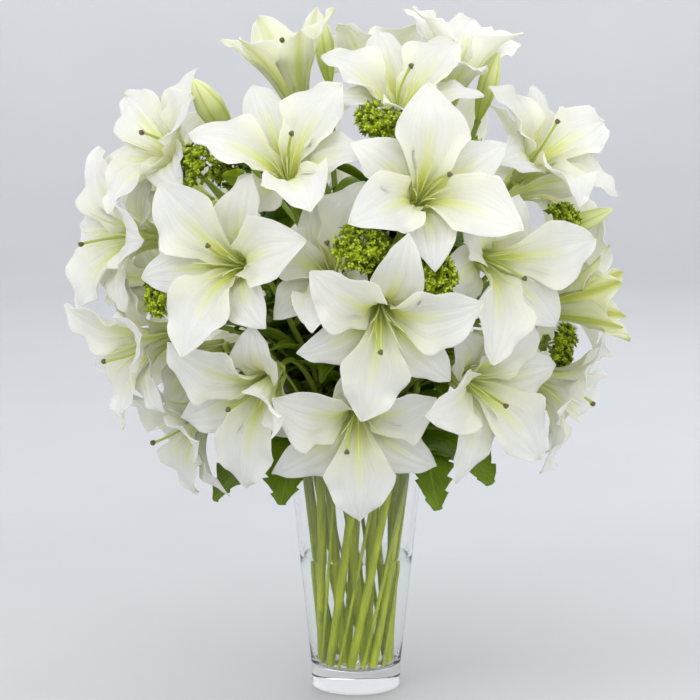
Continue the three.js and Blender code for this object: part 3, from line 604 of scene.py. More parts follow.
# How far out and up the middle of a petal lies at s, and how far it has turned outwards
def petalLine(bloom, form, lift, reach, s):
    length = bloom["length"] * reach
    steps = petalShape["bendSteps"]

    def angleAt(x):
        opening = (bloom["open"] + lift - form["throat"]) * smooth((x - 0.14) / 0.52)
        return np.radians(form["throat"] + opening + bloom["curl"] * np.maximum(0, (x - 0.6) / 0.4) ** 1.4)

    inner = angleAt(s[:, None] * ((np.arange(steps) + 0.5) / steps))
    r = petalShape["seatRadius"] - 1.5 + (np.sin(inner) * length * s[:, None] / steps).sum(1)
    z = 2 + (np.cos(inner) * length * s[:, None] / steps).sum(1)
    return r, z, angleAt(s)


def petalAxes(placed, k):
    base, x, y, z = placed
    turn = math.radians(60 * k)
    outward = x * math.cos(turn) + y * math.sin(turn)
    return outward, np.cross(z, outward)


def sideStep(swing, length):
    return math.sin(math.radians(swing)) * length * petalShape["swingShare"]


def petalTip(placed, form, k, line, sideways):
    base, _, _, z = placed
    outward, across = petalAxes(placed, k)
    r, h, angle = (values[0] for values in line)
    inward = z * math.sin(angle) - outward * math.cos(angle)
    return base + outward * r + z * h + across * sideways - inward * form["back"]


def findPetalPose(bloom, placed, form, k, corners):
    best = (1e9, None)
    for lift in petalShape["lifts"]:
        for reach in petalShape["reaches"]:
            line = petalLine(bloom, form, lift, reach, np.array([1.0]))
            for swing in petalShape["swings"]:
                tip = petalTip(placed, form, k, line, sideStep(swing, bloom["length"] * reach))
                best = min(best, (distanceTo(corners, tip), (lift, swing, reach)))
    return best[1]


# Ruffles along the margins, on each side at its own pace
def rufflesOf(form, phase, S, T, start):
    pace = np.where(T > 0, 3.1 + 0.8 * phase, 3.6 - 0.9 * phase)
    ruffle = np.sin(2 * np.pi * (pace * S + start)) + 0.35
    crimp = np.sin(2 * np.pi * (1.9 * pace * S + 3.7 * start))
    envelope = smooth((S - 0.16) / 0.3) * (1 - 0.75 * smooth((S - 0.82) / 0.18))
    return (form["ruffle"] * ruffle + form["crimp"] * crimp) * np.abs(T) ** 2.2 * envelope


# A channel along the midrib, shallow folds beside it, margins that fall back, and a twist of the outer half
def foldsOf(phase, S, T, width):
    look = petalShape
    channel = look["channel"] * np.exp(-(T / look["channelWidth"]) ** 2) * (1 - smooth((S - 0.45) / 0.5))
    pleats = np.cos(T * look["pleatPace"] + phase) * smooth(S / 0.3) * (1 - S ** 3) * (1 - T ** 2)
    fall = look["recurve"] * width * T ** 2 * smooth((S - 0.5) / 0.35)
    turn = look["twist"] * (spread(look["twistDraw"] * phase) - 0.5) * width * T * smooth((S - 0.35) / 0.5)
    return look["pleats"] * pleats - channel - fall + turn


def makePetal(bloom, placed, form, k, phase, pose, young):
    look = petalShape
    base, _, _, z = placed
    outward, across = petalAxes(placed, k)
    lift, swing, reach = pose
    length = bloom["length"] * reach
    s = np.concatenate([np.linspace(0.03, 0.88, look["rows"]), look["tipRows"]])
    half = np.array(look["columns"])
    S, T = np.meshgrid(s, np.concatenate([-half[:0:-1], half]), indexing="ij")
    r, h, angle = petalLine(bloom, form, lift, reach, s)
    inward = np.outer(np.sin(angle), z) - np.outer(np.cos(angle), outward)
    broad = form["halfWidth"] * (1 + look["widthSpread"] * (spread(look["widthDraw"] * phase) - 0.6))
    width = np.minimum(broad * lanceolate(s) * bloom["length"] / look["forLength"], 0.84 * r)
    sweep = look["sweep"] * (spread(look["sweepDraw"] * phase) - 0.5)
    lean = (sideStep(swing, length) * s ** 2 + sweep * (s ** 2 - s ** 5))[:, None]
    cup = np.minimum(1.3, width / r * np.maximum(0, np.cos(angle)) + 0.3)[:, None]
    width = width[:, None]
    side = np.where(T > 0, 1.7, 0.0)
    start = np.where(T > 0, 9.1 * phase, 5.3 * phase + 0.4)
    wave = form["wave"] * (1 + np.sin(2 * np.pi * (1.6 * S + phase) + side)) * T ** 2 * smooth(S / 0.7)
    wave += rufflesOf(form, phase, S, T, start) + foldsOf(phase, S, T, width)
    nicks = 1 + 0.02 * np.sin(2 * np.pi * (4.3 * S + 2 * start)) * np.abs(T) ** 3
    sides = (width * np.sin(cup * T) / cup + lean) * nicks
    rise = width * (1 - np.cos(cup * T)) / cup + wave - form["back"]
    middle = base + np.outer(r, outward) + np.outer(h, z)
    grid = middle[:, None, :] + sides[..., None] * across + rise[..., None] * inward[:, None, :]
    endLine = petalLine(bloom, form, lift, reach, np.array([1.0]))
    tip = petalTip(placed, form, k, endLine, sideStep(swing, length))
    thick = look["halfThickness"] * (1 + 1.2 * np.exp(-(T / 0.1) ** 2) * (1 - S)) * (1 - 0.5 * T ** 4)
    layers = {
        "along": (S, 1.0),
        "across": (T, 0.0),
        "apart": (T * width / look["markWidth"], 0.0),
        "young": (np.full(S.shape, young), young),
    }
    return shellOf(grid, tip, thick, layers)


def makeBloom(bloom, index):
    node = "petals_" + bloom["name"]
    placed = flowerFrame(bloom)
    corners = cornersOf(node)
    young = min(1.0, max(0.0, (42 - bloom["open"]) / 20))
    parts = []
    for k in range(6):
        form = broadPetal if k % 2 == 0 else narrowPetal
        pose = findPetalPose(bloom, placed, form, k, corners)
        parts.append(makePetal(bloom, placed, form, k, spread(6 * index + k), pose, young))
    ring = turnedPart(*placed, petalShape["seat"], 18, 6, 0.05, 0.0, closedLoop=True)
    ring["layers"] = {"front": 0.5, "along": 0.12, "across": 0.2, "apart": 0.1, "young": young}
    parts.append(ring)
    whole = joinParts(parts)
    occupied.append(whole["points"][::2])
    settle(makeObject("bloom_" + bloom["name"], whole, "petal"), "petal", node)


occupied = []  # points that the later leaves keep clear of
for number, flower in enumerate(blooms):
    makeBloom(flower, number)
print("blooms made")


# Geometry nodes that turn lines into round stalks, as thick as the girth at each point
def newTree(name, inputs):
    tree = bpy.data.node_groups.new(name, "GeometryNodeTree")
    tree.interface.new_socket("Geometry", in_out="INPUT", socket_type="NodeSocketGeometry")
    for label, kind in inputs:
        tree.interface.new_socket(label, in_out="INPUT", socket_type=kind)
    tree.interface.new_socket("Geometry", in_out="OUTPUT", socket_type="NodeSocketGeometry")
    return tree, tree.nodes.new("NodeGroupInput")


def finishTree(tree, geometry, material):
    whole = addNode(tree, "GeometryNodeRealizeInstances", None, {0: geometry})
    coated = addNode(tree, "GeometryNodeSetMaterial", None, {"Geometry": whole, "Material": material})
    tree.links.new(coated.socket, tree.nodes.new("NodeGroupOutput").inputs[0])


def named(tree, name, kind):
    return addNode(tree, "GeometryNodeInputNamedAttribute", {"data_type": kind}, {"Name": name})


def makeStalkTree():
    tree, given = newTree("roundStalks", [("Sides", "NodeSocketInt"), ("Material", "NodeSocketMaterial")])
    outputs = {name: Wire(tree, given.outputs[name]) for name in ("Geometry", "Sides", "Material")}
    girth = named(tree, "girth", "FLOAT")
    curve = addNode(tree, "GeometryNodeMeshToCurve", None, {"Mesh": outputs["Geometry"]})
    circle = {"Resolution": outputs["Sides"], "Radius": 1.0}
    circle = addNode(tree, "GeometryNodeCurvePrimitiveCircle", None, circle)
    sweep = {"Curve": curve, "Profile Curve": circle, "Scale": girth, "Fill Caps": True}
    tube = addNode(tree, "GeometryNodeCurveToMesh", None, sweep)
    tube = addNode(tree, "GeometryNodeSetShadeSmooth", None, {"Geometry": tube})
    bend = addNode(tree, "GeometryNodeInputMeshEdgeAngle")
    steeper = {"data_type": "FLOAT", "operation": "GREATER_THAN"}
    sharp = addNode(tree, "FunctionNodeCompare", steeper, {0: bend, 1: 1.2})
    crease = {"Geometry": tube, "Selection": sharp, "Shade Smooth": False}
    tube = addNode(tree, "GeometryNodeSetShadeSmooth", {"domain": "EDGE"}, crease)
    finishTree(tree, tube, outputs["Material"])
    return tree


def makeFloretTree():
    inputs = [("Floret", "NodeSocketObject"), ("Seed", "NodeSocketInt"), ("Material", "NodeSocketMaterial")]
    tree, given = newTree("scatteredFlorets", inputs)
    outputs = {name: Wire(tree, given.outputs[name]) for name in ("Geometry", "Floret", "Seed", "Material")}
    facing = named(tree, "facing", "FLOAT_VECTOR")
    size = named(tree, "size", "FLOAT")
    turned = addNode(tree, "FunctionNodeAlignRotationToVector", {"axis": "Z"}, {"Vector": facing})
    anyTurn = {3: 6.28, "Seed": outputs["Seed"]}
    spin = addNode(tree, "FunctionNodeRandomValue", {"data_type": "FLOAT"}, anyTurn, 1)
    spin = addNode(tree, "ShaderNodeCombineXYZ", None, {"Z": spin})
    turned = addNode(tree, "FunctionNodeRotateRotation", {"rotation_space": "LOCAL"}, {0: turned, 1: spin})
    floret = addNode(tree, "GeometryNodeObjectInfo", None, {"Object": outputs["Floret"]}, "Geometry")
    scatter = {"Points": outputs["Geometry"], "Instance": floret, "Rotation": turned, "Scale": size}
    finishTree(tree, addNode(tree, "GeometryNodeInstanceOnPoints", None, scatter), outputs["Material"])
    return tree


trees = {"stalks": makeStalkTree(), "florets": makeFloretTree()}


def grow(name, tree, points, edges, layers, values):
    seedMesh = bpy.data.meshes.new(name + "Lines")
    seedMesh.from_pydata((np.asarray(points) * 0.001).tolist(), edges, [])
    for layer, numbers in layers.items():
        numbers = np.asarray(numbers, np.float32)
        kind = "FLOAT" if numbers.ndim == 1 else "FLOAT_VECTOR"
        stored = seedMesh.attributes.new(layer, kind, "POINT")
        stored.data.foreach_set("value" if kind == "FLOAT" else "vector", numbers.ravel())
    piece = bpy.data.objects.new(name, seedMesh)
    bpy.context.scene.collection.objects.link(piece)
    modifier = piece.modifiers.new(tree.name, "NODES")
    modifier.node_group = tree
    for item in tree.interface.items_tree:
        if item.in_out == "INPUT" and item.name in values:
            modifier[item.identifier] = values[item.name]
    graph = bpy.context.evaluated_depsgraph_get()
    made = bpy.data.meshes.new_from_object(piece.evaluated_get(graph))
    piece.modifiers.clear()
    piece.data = made
    bpy.data.meshes.remove(seedMesh)
    return piece


# Lines are gathered as lists of (points, girths, shares along) and grown in one go
def growLines(name, lines, sides, material):
    points, edges, girths, shares, pales = [], [], [], [], []
    for path, girth, along, *pale in lines:
        start = len(points)
        points += list(path)
        edges += [(start + i, start + i + 1) for i in range(len(path) - 1)]
        girths += list(np.asarray(girth) * 0.001)
        shares += list(along)
        pales += [pale[0] if pale else 0.0] * len(path)
    values = {"Sides": sides, "Material": materials[material]}
    layers = {"girth": girths, "along": shares, "pale": pales}
    return grow(name, trees["stalks"], points, edges, layers, values)


def bezier(start, leaving, end, arriving):
    reach = np.linalg.norm(end - start) * 0.34
    corners = np.array([start, start + leaving * reach, end - arriving * reach, end])

    def at(u):
        u = np.atleast_1d(u)[:, None]
        share = [(1 - u) ** 3, 3 * u * (1 - u) ** 2, 3 * u * u * (1 - u), u ** 3]
        return sum(weight * corner for weight, corner in zip(share, corners))

    return at


def roundOff(path, times):
    for _ in range(times):
        low, high = path[:-1], path[1:]
        cut = np.stack([low * 0.75 + high * 0.25, low * 0.25 + high * 0.75], 1).reshape(-1, 3)
        path = np.concatenate([path[:1], cut[1:-1], path[-1:]])
    return path


def tangentOf(curve, u):
    low, high = max(0, u - 1e-4), min(1, u + 1e-4)
    return unit(curve(high)[0] - curve(low)[0])


def footAndRim(foot, rim, radius):
    top = aroundAxis(*rim, vase["height"])
    bottom = aroundAxis(*foot, 0)
    up = unit(top - bottom)
    lowest = vase["floor"] + vase["seatGap"] + radius * math.hypot(up[0], up[1])
    return bottom + up * lowest / up[2], top, up


# Leaves
leafShape = {"rows": 40, "columns": 12, "halfThickness": 0.35}
innerLeaves = {
    "fractions": (0.24, 0.31, 0.38, 0.45, 0.52, 0.59, 0.66, 0.73, 0.8, 0.87, 0.94),
    "lengths": (104, 86, 68), "halfWidth": 13, "clearance": 2.0, "stalkGap": 5.0, "leafGap": 4.5,
    "reach": 157, "rows": 18, "columns": 6, "stalkPlaces": (-11, -8, -5), "shortLengths": (84, 64, 48),
    "rises": (40, 10, -15), "azimuthStep": 20, "lowest": 232, "roomToWidth": 2.6, "longBonus": 200,
}
stemLeaf = {"fractions": (0.18, 0.46), "length": 76, "shorter": 8, "halfWidth": 9}


def makeLeaf(curve, up, halfWidth, fold, teeth, sag, detail=leafShape):
    s = np.concatenate([np.linspace(0.0, 0.94, detail["rows"]), [0.965, 0.985]])
    t = np.linspace(-1, 1, detail["columns"] + 1)
    S, T = np.meshgrid(s, t, indexing="ij")
    along = np.gradient(curve(s), s, axis=0)
    along /= np.linalg.norm(along, axis=1, keepdims=True)
    side = np.cross(up, along)
    side /= np.linalg.norm(side, axis=1, keepdims=True)
    face = np.cross(along, side)
    width = halfWidth * (0.1 + 0.9 * np.sin(np.pi * np.minimum(1, s ** 0.8)) ** 0.8)
    jag = 0.36 * ((teeth * S + 0.2 * np.sign(T)) % 1.0) * smooth((S - 0.1) / 0.2) if teeth else 0.0
    spreadOut = width[:, None] * T * (1 - jag * np.abs(T) ** 2)
    pleats = np.cos(2 * np.pi * (teeth or 3) * (S - 0.34 * np.abs(T))) * np.abs(T)
    rise = np.abs(spreadOut) * math.sin(fold) + pleats * (0.9 if teeth else 0.27) - sag * T ** 2
    ripple = 1.4 * np.sin(2 * np.pi * (2.2 * S + 0.3 * np.sign(T))) * np.abs(T) ** 3
    grid = curve(s)[:, None, :] + (spreadOut * math.cos(fold))[..., None] * side[:, None, :]
    grid = grid + (rise + ripple)[..., None] * face[:, None, :]
    half = leafShape["halfThickness"] * (1 + 1.6 * np.exp(-(T / 0.1) ** 2) * (1 - S))
    return shellOf(grid, curve(1.0)[0], half, {"along": (S, 1.0), "across": (T, 0.0)})


# Lily stems, with their stalks, styles, filaments, buds and leaves
stemShape = {
    "radius": 3.6,
    "girths": (3.6, 3.3, 3.1, 2.9, 2.7),  # from the rim to the crown
    "branchRoot": 2.6,
    "stalk": 2.2,
    "stalkTop": 2.9,
    "neck": 5,
    "firstBranch": 0.5, "branchSpan": 0.44,
    "straightSteps": 14, "crownSteps": 30, "stalkSteps": 12,
    "sides": 14,
}
pistilShape = {"styleLength": 76, "stigma": 2.1, "lean": 9.5, "bow": 5, "sides": 8}
filamentShape = {"length": 60, "lean": 12, "extraLean": 5, "root": 0.8, "tip": 0.4, "sides": 6}


# How large a bloom is, the turn and the side to which its style leans, and the height of the style's tip
def styleOf(bloom, index):
    _, x, y, _ = flowerFrame(bloom)
    size = bloom["length"] / petalShape["forLength"]
    turn = 2 * math.pi * spread(3 * index + 1)
    return size, turn, x * math.cos(turn) + y * math.sin(turn), pistilShape["styleLength"] * size


def makePistil(bloom, index):
    base, x, y, z = flowerFrame(bloom)
    size, _, towards, tip = styleOf(bloom, index)
    heights = np.linspace(0, tip - 0.5, 16)
    leans = pistilShape["lean"] * np.clip((heights - 10) / (tip - 12), 0, 1.05) ** 1.4
    bows = pistilShape["bow"] * np.sin(np.pi * np.clip((heights - 10) / (tip - 10), 0, 1))
    bows = bows * (1 if spread(7 * index) > 0.5 else -1)
    path = base + np.outer(heights, z) + np.outer(leans, towards) + np.outer(bows, np.cross(z, towards))
    girths = np.interp(heights, [0, 10, 20, tip * 0.85, tip], [1.7, 1.7, 1.1, 1.05, 1.4])
    lines = [(path, girths, 0.86 * heights / tip)]
    for k in range(6):
        angle = math.radians(60 * (k + 1))
        outward = x * math.cos(angle) + y * math.sin(angle)
        lean = math.radians(filamentShape["lean"] + filamentShape["extraLean"] * spread(6 * index + k))
        length = filamentShape["length"] * size
        u = np.linspace(0, 1, 12)
        out = 1 + length * math.sin(lean) * (0.35 * u + 0.65 * u ** 1.8)
        on = 8 + length * math.cos(lean) * (1.02 * u - 0.02 * u ** 2)
        path = base + np.outer(out, outward) + np.outer(on, z)
        girth = np.interp(u, [0, 0.9, 1], [filamentShape["root"], filamentShape["tip"], 0.3])
        lines.append((path, girth, 0.8 * u, 0.8))
    return lines


# The stigma is a knob with three lobes at the style's tip
def makeStigma(bloom, index):
    base, x, y, z = flowerFrame(bloom)
    _, turn, towards, tip = styleOf(bloom, index)
    top = base + z * (tip - 2.2) + towards * pistilShape["lean"]
    knob = [(0.5, -1.6), (0.8, -0.6), (1.0, 0.8), (0.9, 1.9), (0.6, 2.6), (0.25, 2.8)]
    profile = [(r * pistilShape["stigma"], h) for r, h in knob]
    part = turnedPart(top, x, y, z, profile, 18, 3, 0.16, turn)
    part["layers"] = {"along": 1.0, "pale": 0.0}
    return part


budShape = {
    "heights": (0, 0.05, 0.1, 0.32, 0.58, 0.82, 0.95, 1),
    "girths": (0.24, 0.36, 0.5, 0.86, 1, 0.68, 0.3, 0.1),
    "rings": 30, "sides": 36, "lobeDepth": 0.07,
}


def makeBud(bud):
    stations = np.linspace(0.0, 1, budShape["rings"])
    girths = np.interp(stations, budShape["heights"], budShape["girths"])
    girths[1:-1] = np.convolve(girths, np.ones(3) / 3, "valid")
    sides = budShape["sides"]
    turns = 2 * np.pi * np.arange(sides) / sides
    profile = [(girth * bud["girth"], s * bud["length"]) for girth, s in zip(girths, stations)]
    part = turnedPart(*flowerFrame(bud), profile, sides, 3, budShape["lobeDepth"])
    ribs = np.maximum(0, np.cos(6 * turns)) ** 3
    part["layers"] = {
        "along": np.concatenate([np.repeat(stations, sides), [0, 1]]),
        "rib": np.concatenate([np.tile(ribs, len(stations)), [0.5, 0.5]]),
    }
    return part


# A stem's points, girths and shares along, from its foot to its crown
def trunkOf(footPoint, rimPoint, up, line):
    steps = stemShape["straightSteps"]
    u = np.linspace(0, 1, stemShape["crownSteps"])
    path = np.concatenate([[footPoint], np.linspace(footPoint + up, rimPoint, steps)[:-1], line(u)])
    upper = np.interp(u, np.linspace(0, 1, 5), stemShape["girths"])
    girths = np.concatenate([np.full(steps, stemShape["radius"]), upper])
    return path, girths, np.concatenate([[-0.2], np.zeros(steps - 1), u * 0.5])


# The same, carried on from the last point to a flower's base
def stalkTo(flower, path, girths, shares, leaving):
    base, _, _, z = flowerFrame(flower)
    curve = bezier(path[-1], leaving, base - z * stemShape["neck"], z)
    bend = curve(np.linspace(0, 1, stemShape["stalkSteps"] + 1))[1:]
    narrowing = np.linspace(girths[-1], stemShape["stalk"], 5)
    rest = np.full(len(bend) - 5, stemShape["stalk"])
    girths = np.concatenate([girths, narrowing, rest, [stemShape["stalkTop"]]])
    shares = np.concatenate([shares, np.linspace(shares[-1], 1, len(bend) + 1)])
    return np.concatenate([path, bend, [base]]), girths, shares


def makeStem(order, name, foot, rim, crown):
    node = "lily_stem_" + name
    corners = cornersOf(node)
    footPoint, rimPoint, up = footAndRim(foot, rim, stemShape["radius"])
    line = bezier(rimPoint, up, aroundAxis(*crown), direction(crown[0], 50))
    grown = sorted([f for f in blooms + buds if f["stem"] == name], key=lambda f: f["at"][1])
    lines, budParts, stigmas, pistils = [], [], [], []
    for k, flower in enumerate(grown):
        isLast = k == len(grown) - 1
        place = k / max(1, len(grown) - 1)
        fraction = 1 if isLast else stemShape["firstBranch"] + stemShape["branchSpan"] * place
        start = line(fraction)[0]
        leaving = tangentOf(line, fraction)
        if isLast:
            lead = trunkOf(footPoint, rimPoint, up, line)
        else:
            leaving = unit(leaving + unit(onDome(flower["at"]) - start))
            lead = start[None, :], np.array([stemShape["branchRoot"]]), np.array([0.4])
        lines.append(stalkTo(flower, *lead, leaving))
        if "girth" in flower:
            budParts.append(makeBud(flower))
        else:
            index = blooms.index(flower)
            pistils += makePistil(flower, index)
            stigmas.append(makeStigma(flower, index))
    stalks.extend(path[2:] for path, *_ in lines[:-1])
    stalks.append(lines[-1][0][stemShape["straightSteps"]:])
    settle(growLines("stem_" + name, lines, stemShape["sides"], "stem"), "stem", node)
    settle(growLines("pistils_" + name, pistils, pistilShape["sides"], "style"), "stem", node)
    settle(makeObject("stigmas_" + name, joinParts(stigmas), "style"), "stem", node)
    if budParts:
        settle(makeObject("buds_" + name, joinParts(budParts), "bud"), "stem", node)
    leaves = makeStemLeaves(order, line, rim[0], corners)
    innerTips.extend(leaf["points"][::5] for leaf in leaves)
    perches = [(line(fraction)[0], innerLeaves["lengths"]) for fraction in innerLeaves["fractions"]]
    for path, *_ in lines:
        perches += [(path[place], innerLeaves["shortLengths"]) for place in innerLeaves["stalkPlaces"]]
    return name, perches, leaves


# More leaves fill the gaps between the stalks, each in the clearest of its places
innerTips = [np.array([[0, 0, 0.0]])]


def makeInnerLeaves(order, perches):
    look = innerLeaves
    leaves = []
    for k, (start, lengths) in enumerate(perches):
        taken = np.concatenate(innerTips)
        best = (0, None, None)
        first = look["azimuthStep"] * spread(3 * order + 7 * k)
        azimuths = np.arange(0, 360, look["azimuthStep"]) + first
        for length, azimuth, rise in itertools.product(lengths, azimuths, look["rises"]):
            tip = start + direction(azimuth, rise - 20) * length
            if np.linalg.norm(tip - domeCentre) > look["reach"] or tip[2] < look["lowest"]:
                continue
            curve = bezier(start, direction(azimuth, rise), tip, direction(azimuth, rise - 50))
            points = curve(np.linspace(0.22, 1, 9))
            room = min(clearOfPetals.find(point)[2] for point in points)
            worth = room * (1 + length / look["longBonus"])
            if room < look["clearance"] or worth < best[0]:
                continue
            if min(clearOfStalks.find(point)[2] for point in points) < look["stalkGap"]:
                continue
            apart = np.sqrt(((points[:, None] - taken[None]) ** 2).sum(2)).min()
            if apart > look["leafGap"]:
                best = (worth, curve, room)
        if best[1]:
            width = min(look["halfWidth"], best[2] * look["roomToWidth"])
            leaves.append(makeLeaf(best[1], np.array([0, 0, 1.0]), width, 0.4, 0, 0.0, look))
            innerTips.append(best[1](np.linspace(0.2, 1, 12)))
    return leaves


def makeStemLeaves(order, line, rimAzimuth, corners):
    leaves = []
    for k, fraction in enumerate(stemLeaf["fractions"]):
        start = line(fraction)[0]
        length = stemLeaf["length"] - stemLeaf["shorter"] * k
        first = 30 * (spread(3 * order + k) - 0.5)
        turns = [first + turn for turn in (0, 20, -20, 40, -40, 60, -60, 85, -85)]
        choices = [(turn, rise) for rise in (30, 10, 50, -10) for turn in turns]

        def tipOf(choice):
            return start + direction(rimAzimuth + choice[0], choice[1] - 34) * length

        found = nearestChoice(corners, choices, tipOf)
        if found:
            azimuth, rise = rimAzimuth + found[0], found[1]
            curve = bezier(start, direction(azimuth, rise), tipOf(found), direction(azimuth, rise - 70))
            leaves.append(makeLeaf(curve, np.array([0, 0, 1.0]), stemLeaf["halfWidth"], 0.4, 0, 0.0))
    return leaves


def treeOf(points):
    tree = KDTree(len(points))
    for number, point in enumerate(points):
        tree.insert(point, number)
    tree.balance()
    return tree


stalks = []
clearOfPetals = treeOf(np.concatenate(occupied))
leafy = [makeStem(number, *stem) for number, stem in enumerate(stems)]
clearOfStalks = treeOf(np.concatenate(stalks))
for number, (letter, perches, leaves) in enumerate(leafy):
    leaves += makeInnerLeaves(number, perches)
    if leaves:
        settle(makeObject("stemLeaves_" + letter, joinParts(leaves), "leaf"), "stem", "lily_stem_" + letter)
print("stems made, with", len(innerTips) - 1, "inner leaves")


# Broad toothed leaves at the rim
collarShape = {"stalk": 1.6, "aboveRim": 14, "steps": 12, "sides": 10, "broader": 1.18, "teeth": 7}


def makeCollar(name, foot, rim, tips):
    node = "collar_leaves_" + name
    corners = cornersOf(node)
    footPoint, rimPoint, up = footAndRim(foot, rim, collarShape["stalk"])
    top = rimPoint + up * collarShape["aboveRim"]
    steps = collarShape["steps"]
    girths = np.full(steps, collarShape["stalk"])
    line = (np.linspace(footPoint, top, steps), girths, np.linspace(0, 0.6, steps))
    start = top - up * 3
    leaves = []
    for azimuth, reach, height, halfWidth in tips:
        choices = [(swing, lift) for swing in (0, 8, -8, 16, -16) for lift in (0, 12, -8, 24)]

        def tipOf(choice):
            return aroundAxis(azimuth + choice[0], reach, height + choice[1])

        found = nearestChoice(corners, choices, tipOf)
        if found:
            facing = azimuth + found[0]
            curve = bezier(start, direction(facing, 25), tipOf(found), direction(facing, -55))
            width = halfWidth * collarShape["broader"]
            above = direction(facing * 0.6, 50)
            leaves.append(makeLeaf(curve, above, width, 0.25, collarShape["teeth"], 1.5))
    settle(growLines("collarStalk_" + name, [line], collarShape["sides"], "stem"), "leaf", node)
    settle(makeObject("collarLeaves_" + name, joinParts(leaves), "collar"), "leaf", node)


for collar in collars:
    makeCollar(*collar)
print("collar leaves made")


# Filler flowers
fillerShape = {
    "stalk": 1.4, "branch": 1.2, "ray": 0.6, "twig": 0.4,
    "perRay": 12, "floret": 4.9, "crown": 12.0, "spreadOut": 1.5,
    "rays": 5, "rayLength": 15, "rayLonger": 4, "turn": 2.39996, "sides": 8, "leaf": 20, "leafHalfWidth": 8,
}


# Two directions that are square to a path's end and to each other
def crossingsOf(path):
    along = unit(path[-1] - path[-2])
    across = np.array([0.3, 0.5, 0.8])
    across = unit(across - along * (across @ along))
    return across, np.cross(along, across)


def raysOf(stalk, arriving, order):
    x, y = crossingsOf(stalk)
    rays = []
    for k in range(fillerShape["rays"]):
        turn = (k + 1) * 2 * math.pi / fillerShape["rays"]
        facing = unit(arriving + 0.8 * (x * math.cos(turn) + y * math.sin(turn)))
        length = fillerShape["rayLength"] + fillerShape["rayLonger"] * spread(5 * order + k)
        rays.append((facing, stalk[-1] + facing * length))
    return rays


def makeFloretObject():
    turns = np.radians(36 * np.arange(10))
    reach = np.where(np.arange(10) % 2 == 0, 1.2, 0.7)
    lift = np.where(np.arange(10) % 2 == 0, 0.45, 0.02)
    star = np.stack([reach * np.cos(turns), reach * np.sin(turns), lift], 1)
    points = np.concatenate([star, [[0, 0, 0.12], [0, 0, -0.25]]])
    faces = [(10, k, (k + 1) % 10) for k in range(10)] + [(11, (k + 1) % 10, k) for k in range(10)]
    parts = [{"points": points, "faces": faces, "layers": {"bead": 0.0}}]
    for k in range(4):
        turn = math.radians(72 * k + 36)
        centre = np.array([0.34 * math.cos(turn), 0.34 * math.sin(turn), 0.3]) * (0 if k == 3 else 1)
        bead = turnedPart(centre + [0, 0, 0.08], *np.eye(3), [(0.08, -0.2), (0.24, 0.02), (0.1, 0.24)], 5)
        bead["layers"] = {"bead": 1.0}
        parts.append(bead)
    whole = joinParts(parts)
    whole["points"] = whole["points"] * 1000
    return makeObject("floretPattern", whole, "floret")


floretPattern = makeFloretObject()


# A ray's florets stand on twigs that fan out from its root, but not where they would touch a petal
def addFlorets(root, facing, n, order, lines, spots):
    x = unit(np.cross(facing, (0.3, 0.5, 0.8)))
    y = np.cross(facing, x)
    for m in range(fillerShape["perRay"]):
        turn = fillerShape["turn"] * m + n
        out = fillerShape["spreadOut"] * math.sqrt(m / fillerShape["perRay"])
        way = unit(facing + out * (x * math.cos(turn) + y * math.sin(turn)))
        length = fillerShape["crown"] * (0.72 + 0.4 * spread(13 * n + 5 * m + order))
        end = root + way * length
        if clearOfPetals.find(end)[2] < fillerShape["floret"]:
            continue
        lines.append((np.linspace(root, end, 3), np.full(3, fillerShape["twig"]), np.full(3, 1.0)))
        spots["points"].append(end)
        spots["facing"].append(way)
        spots["size"].append(fillerShape["floret"] * (0.8 + 0.4 * spread(7 * n + 3 * m)))


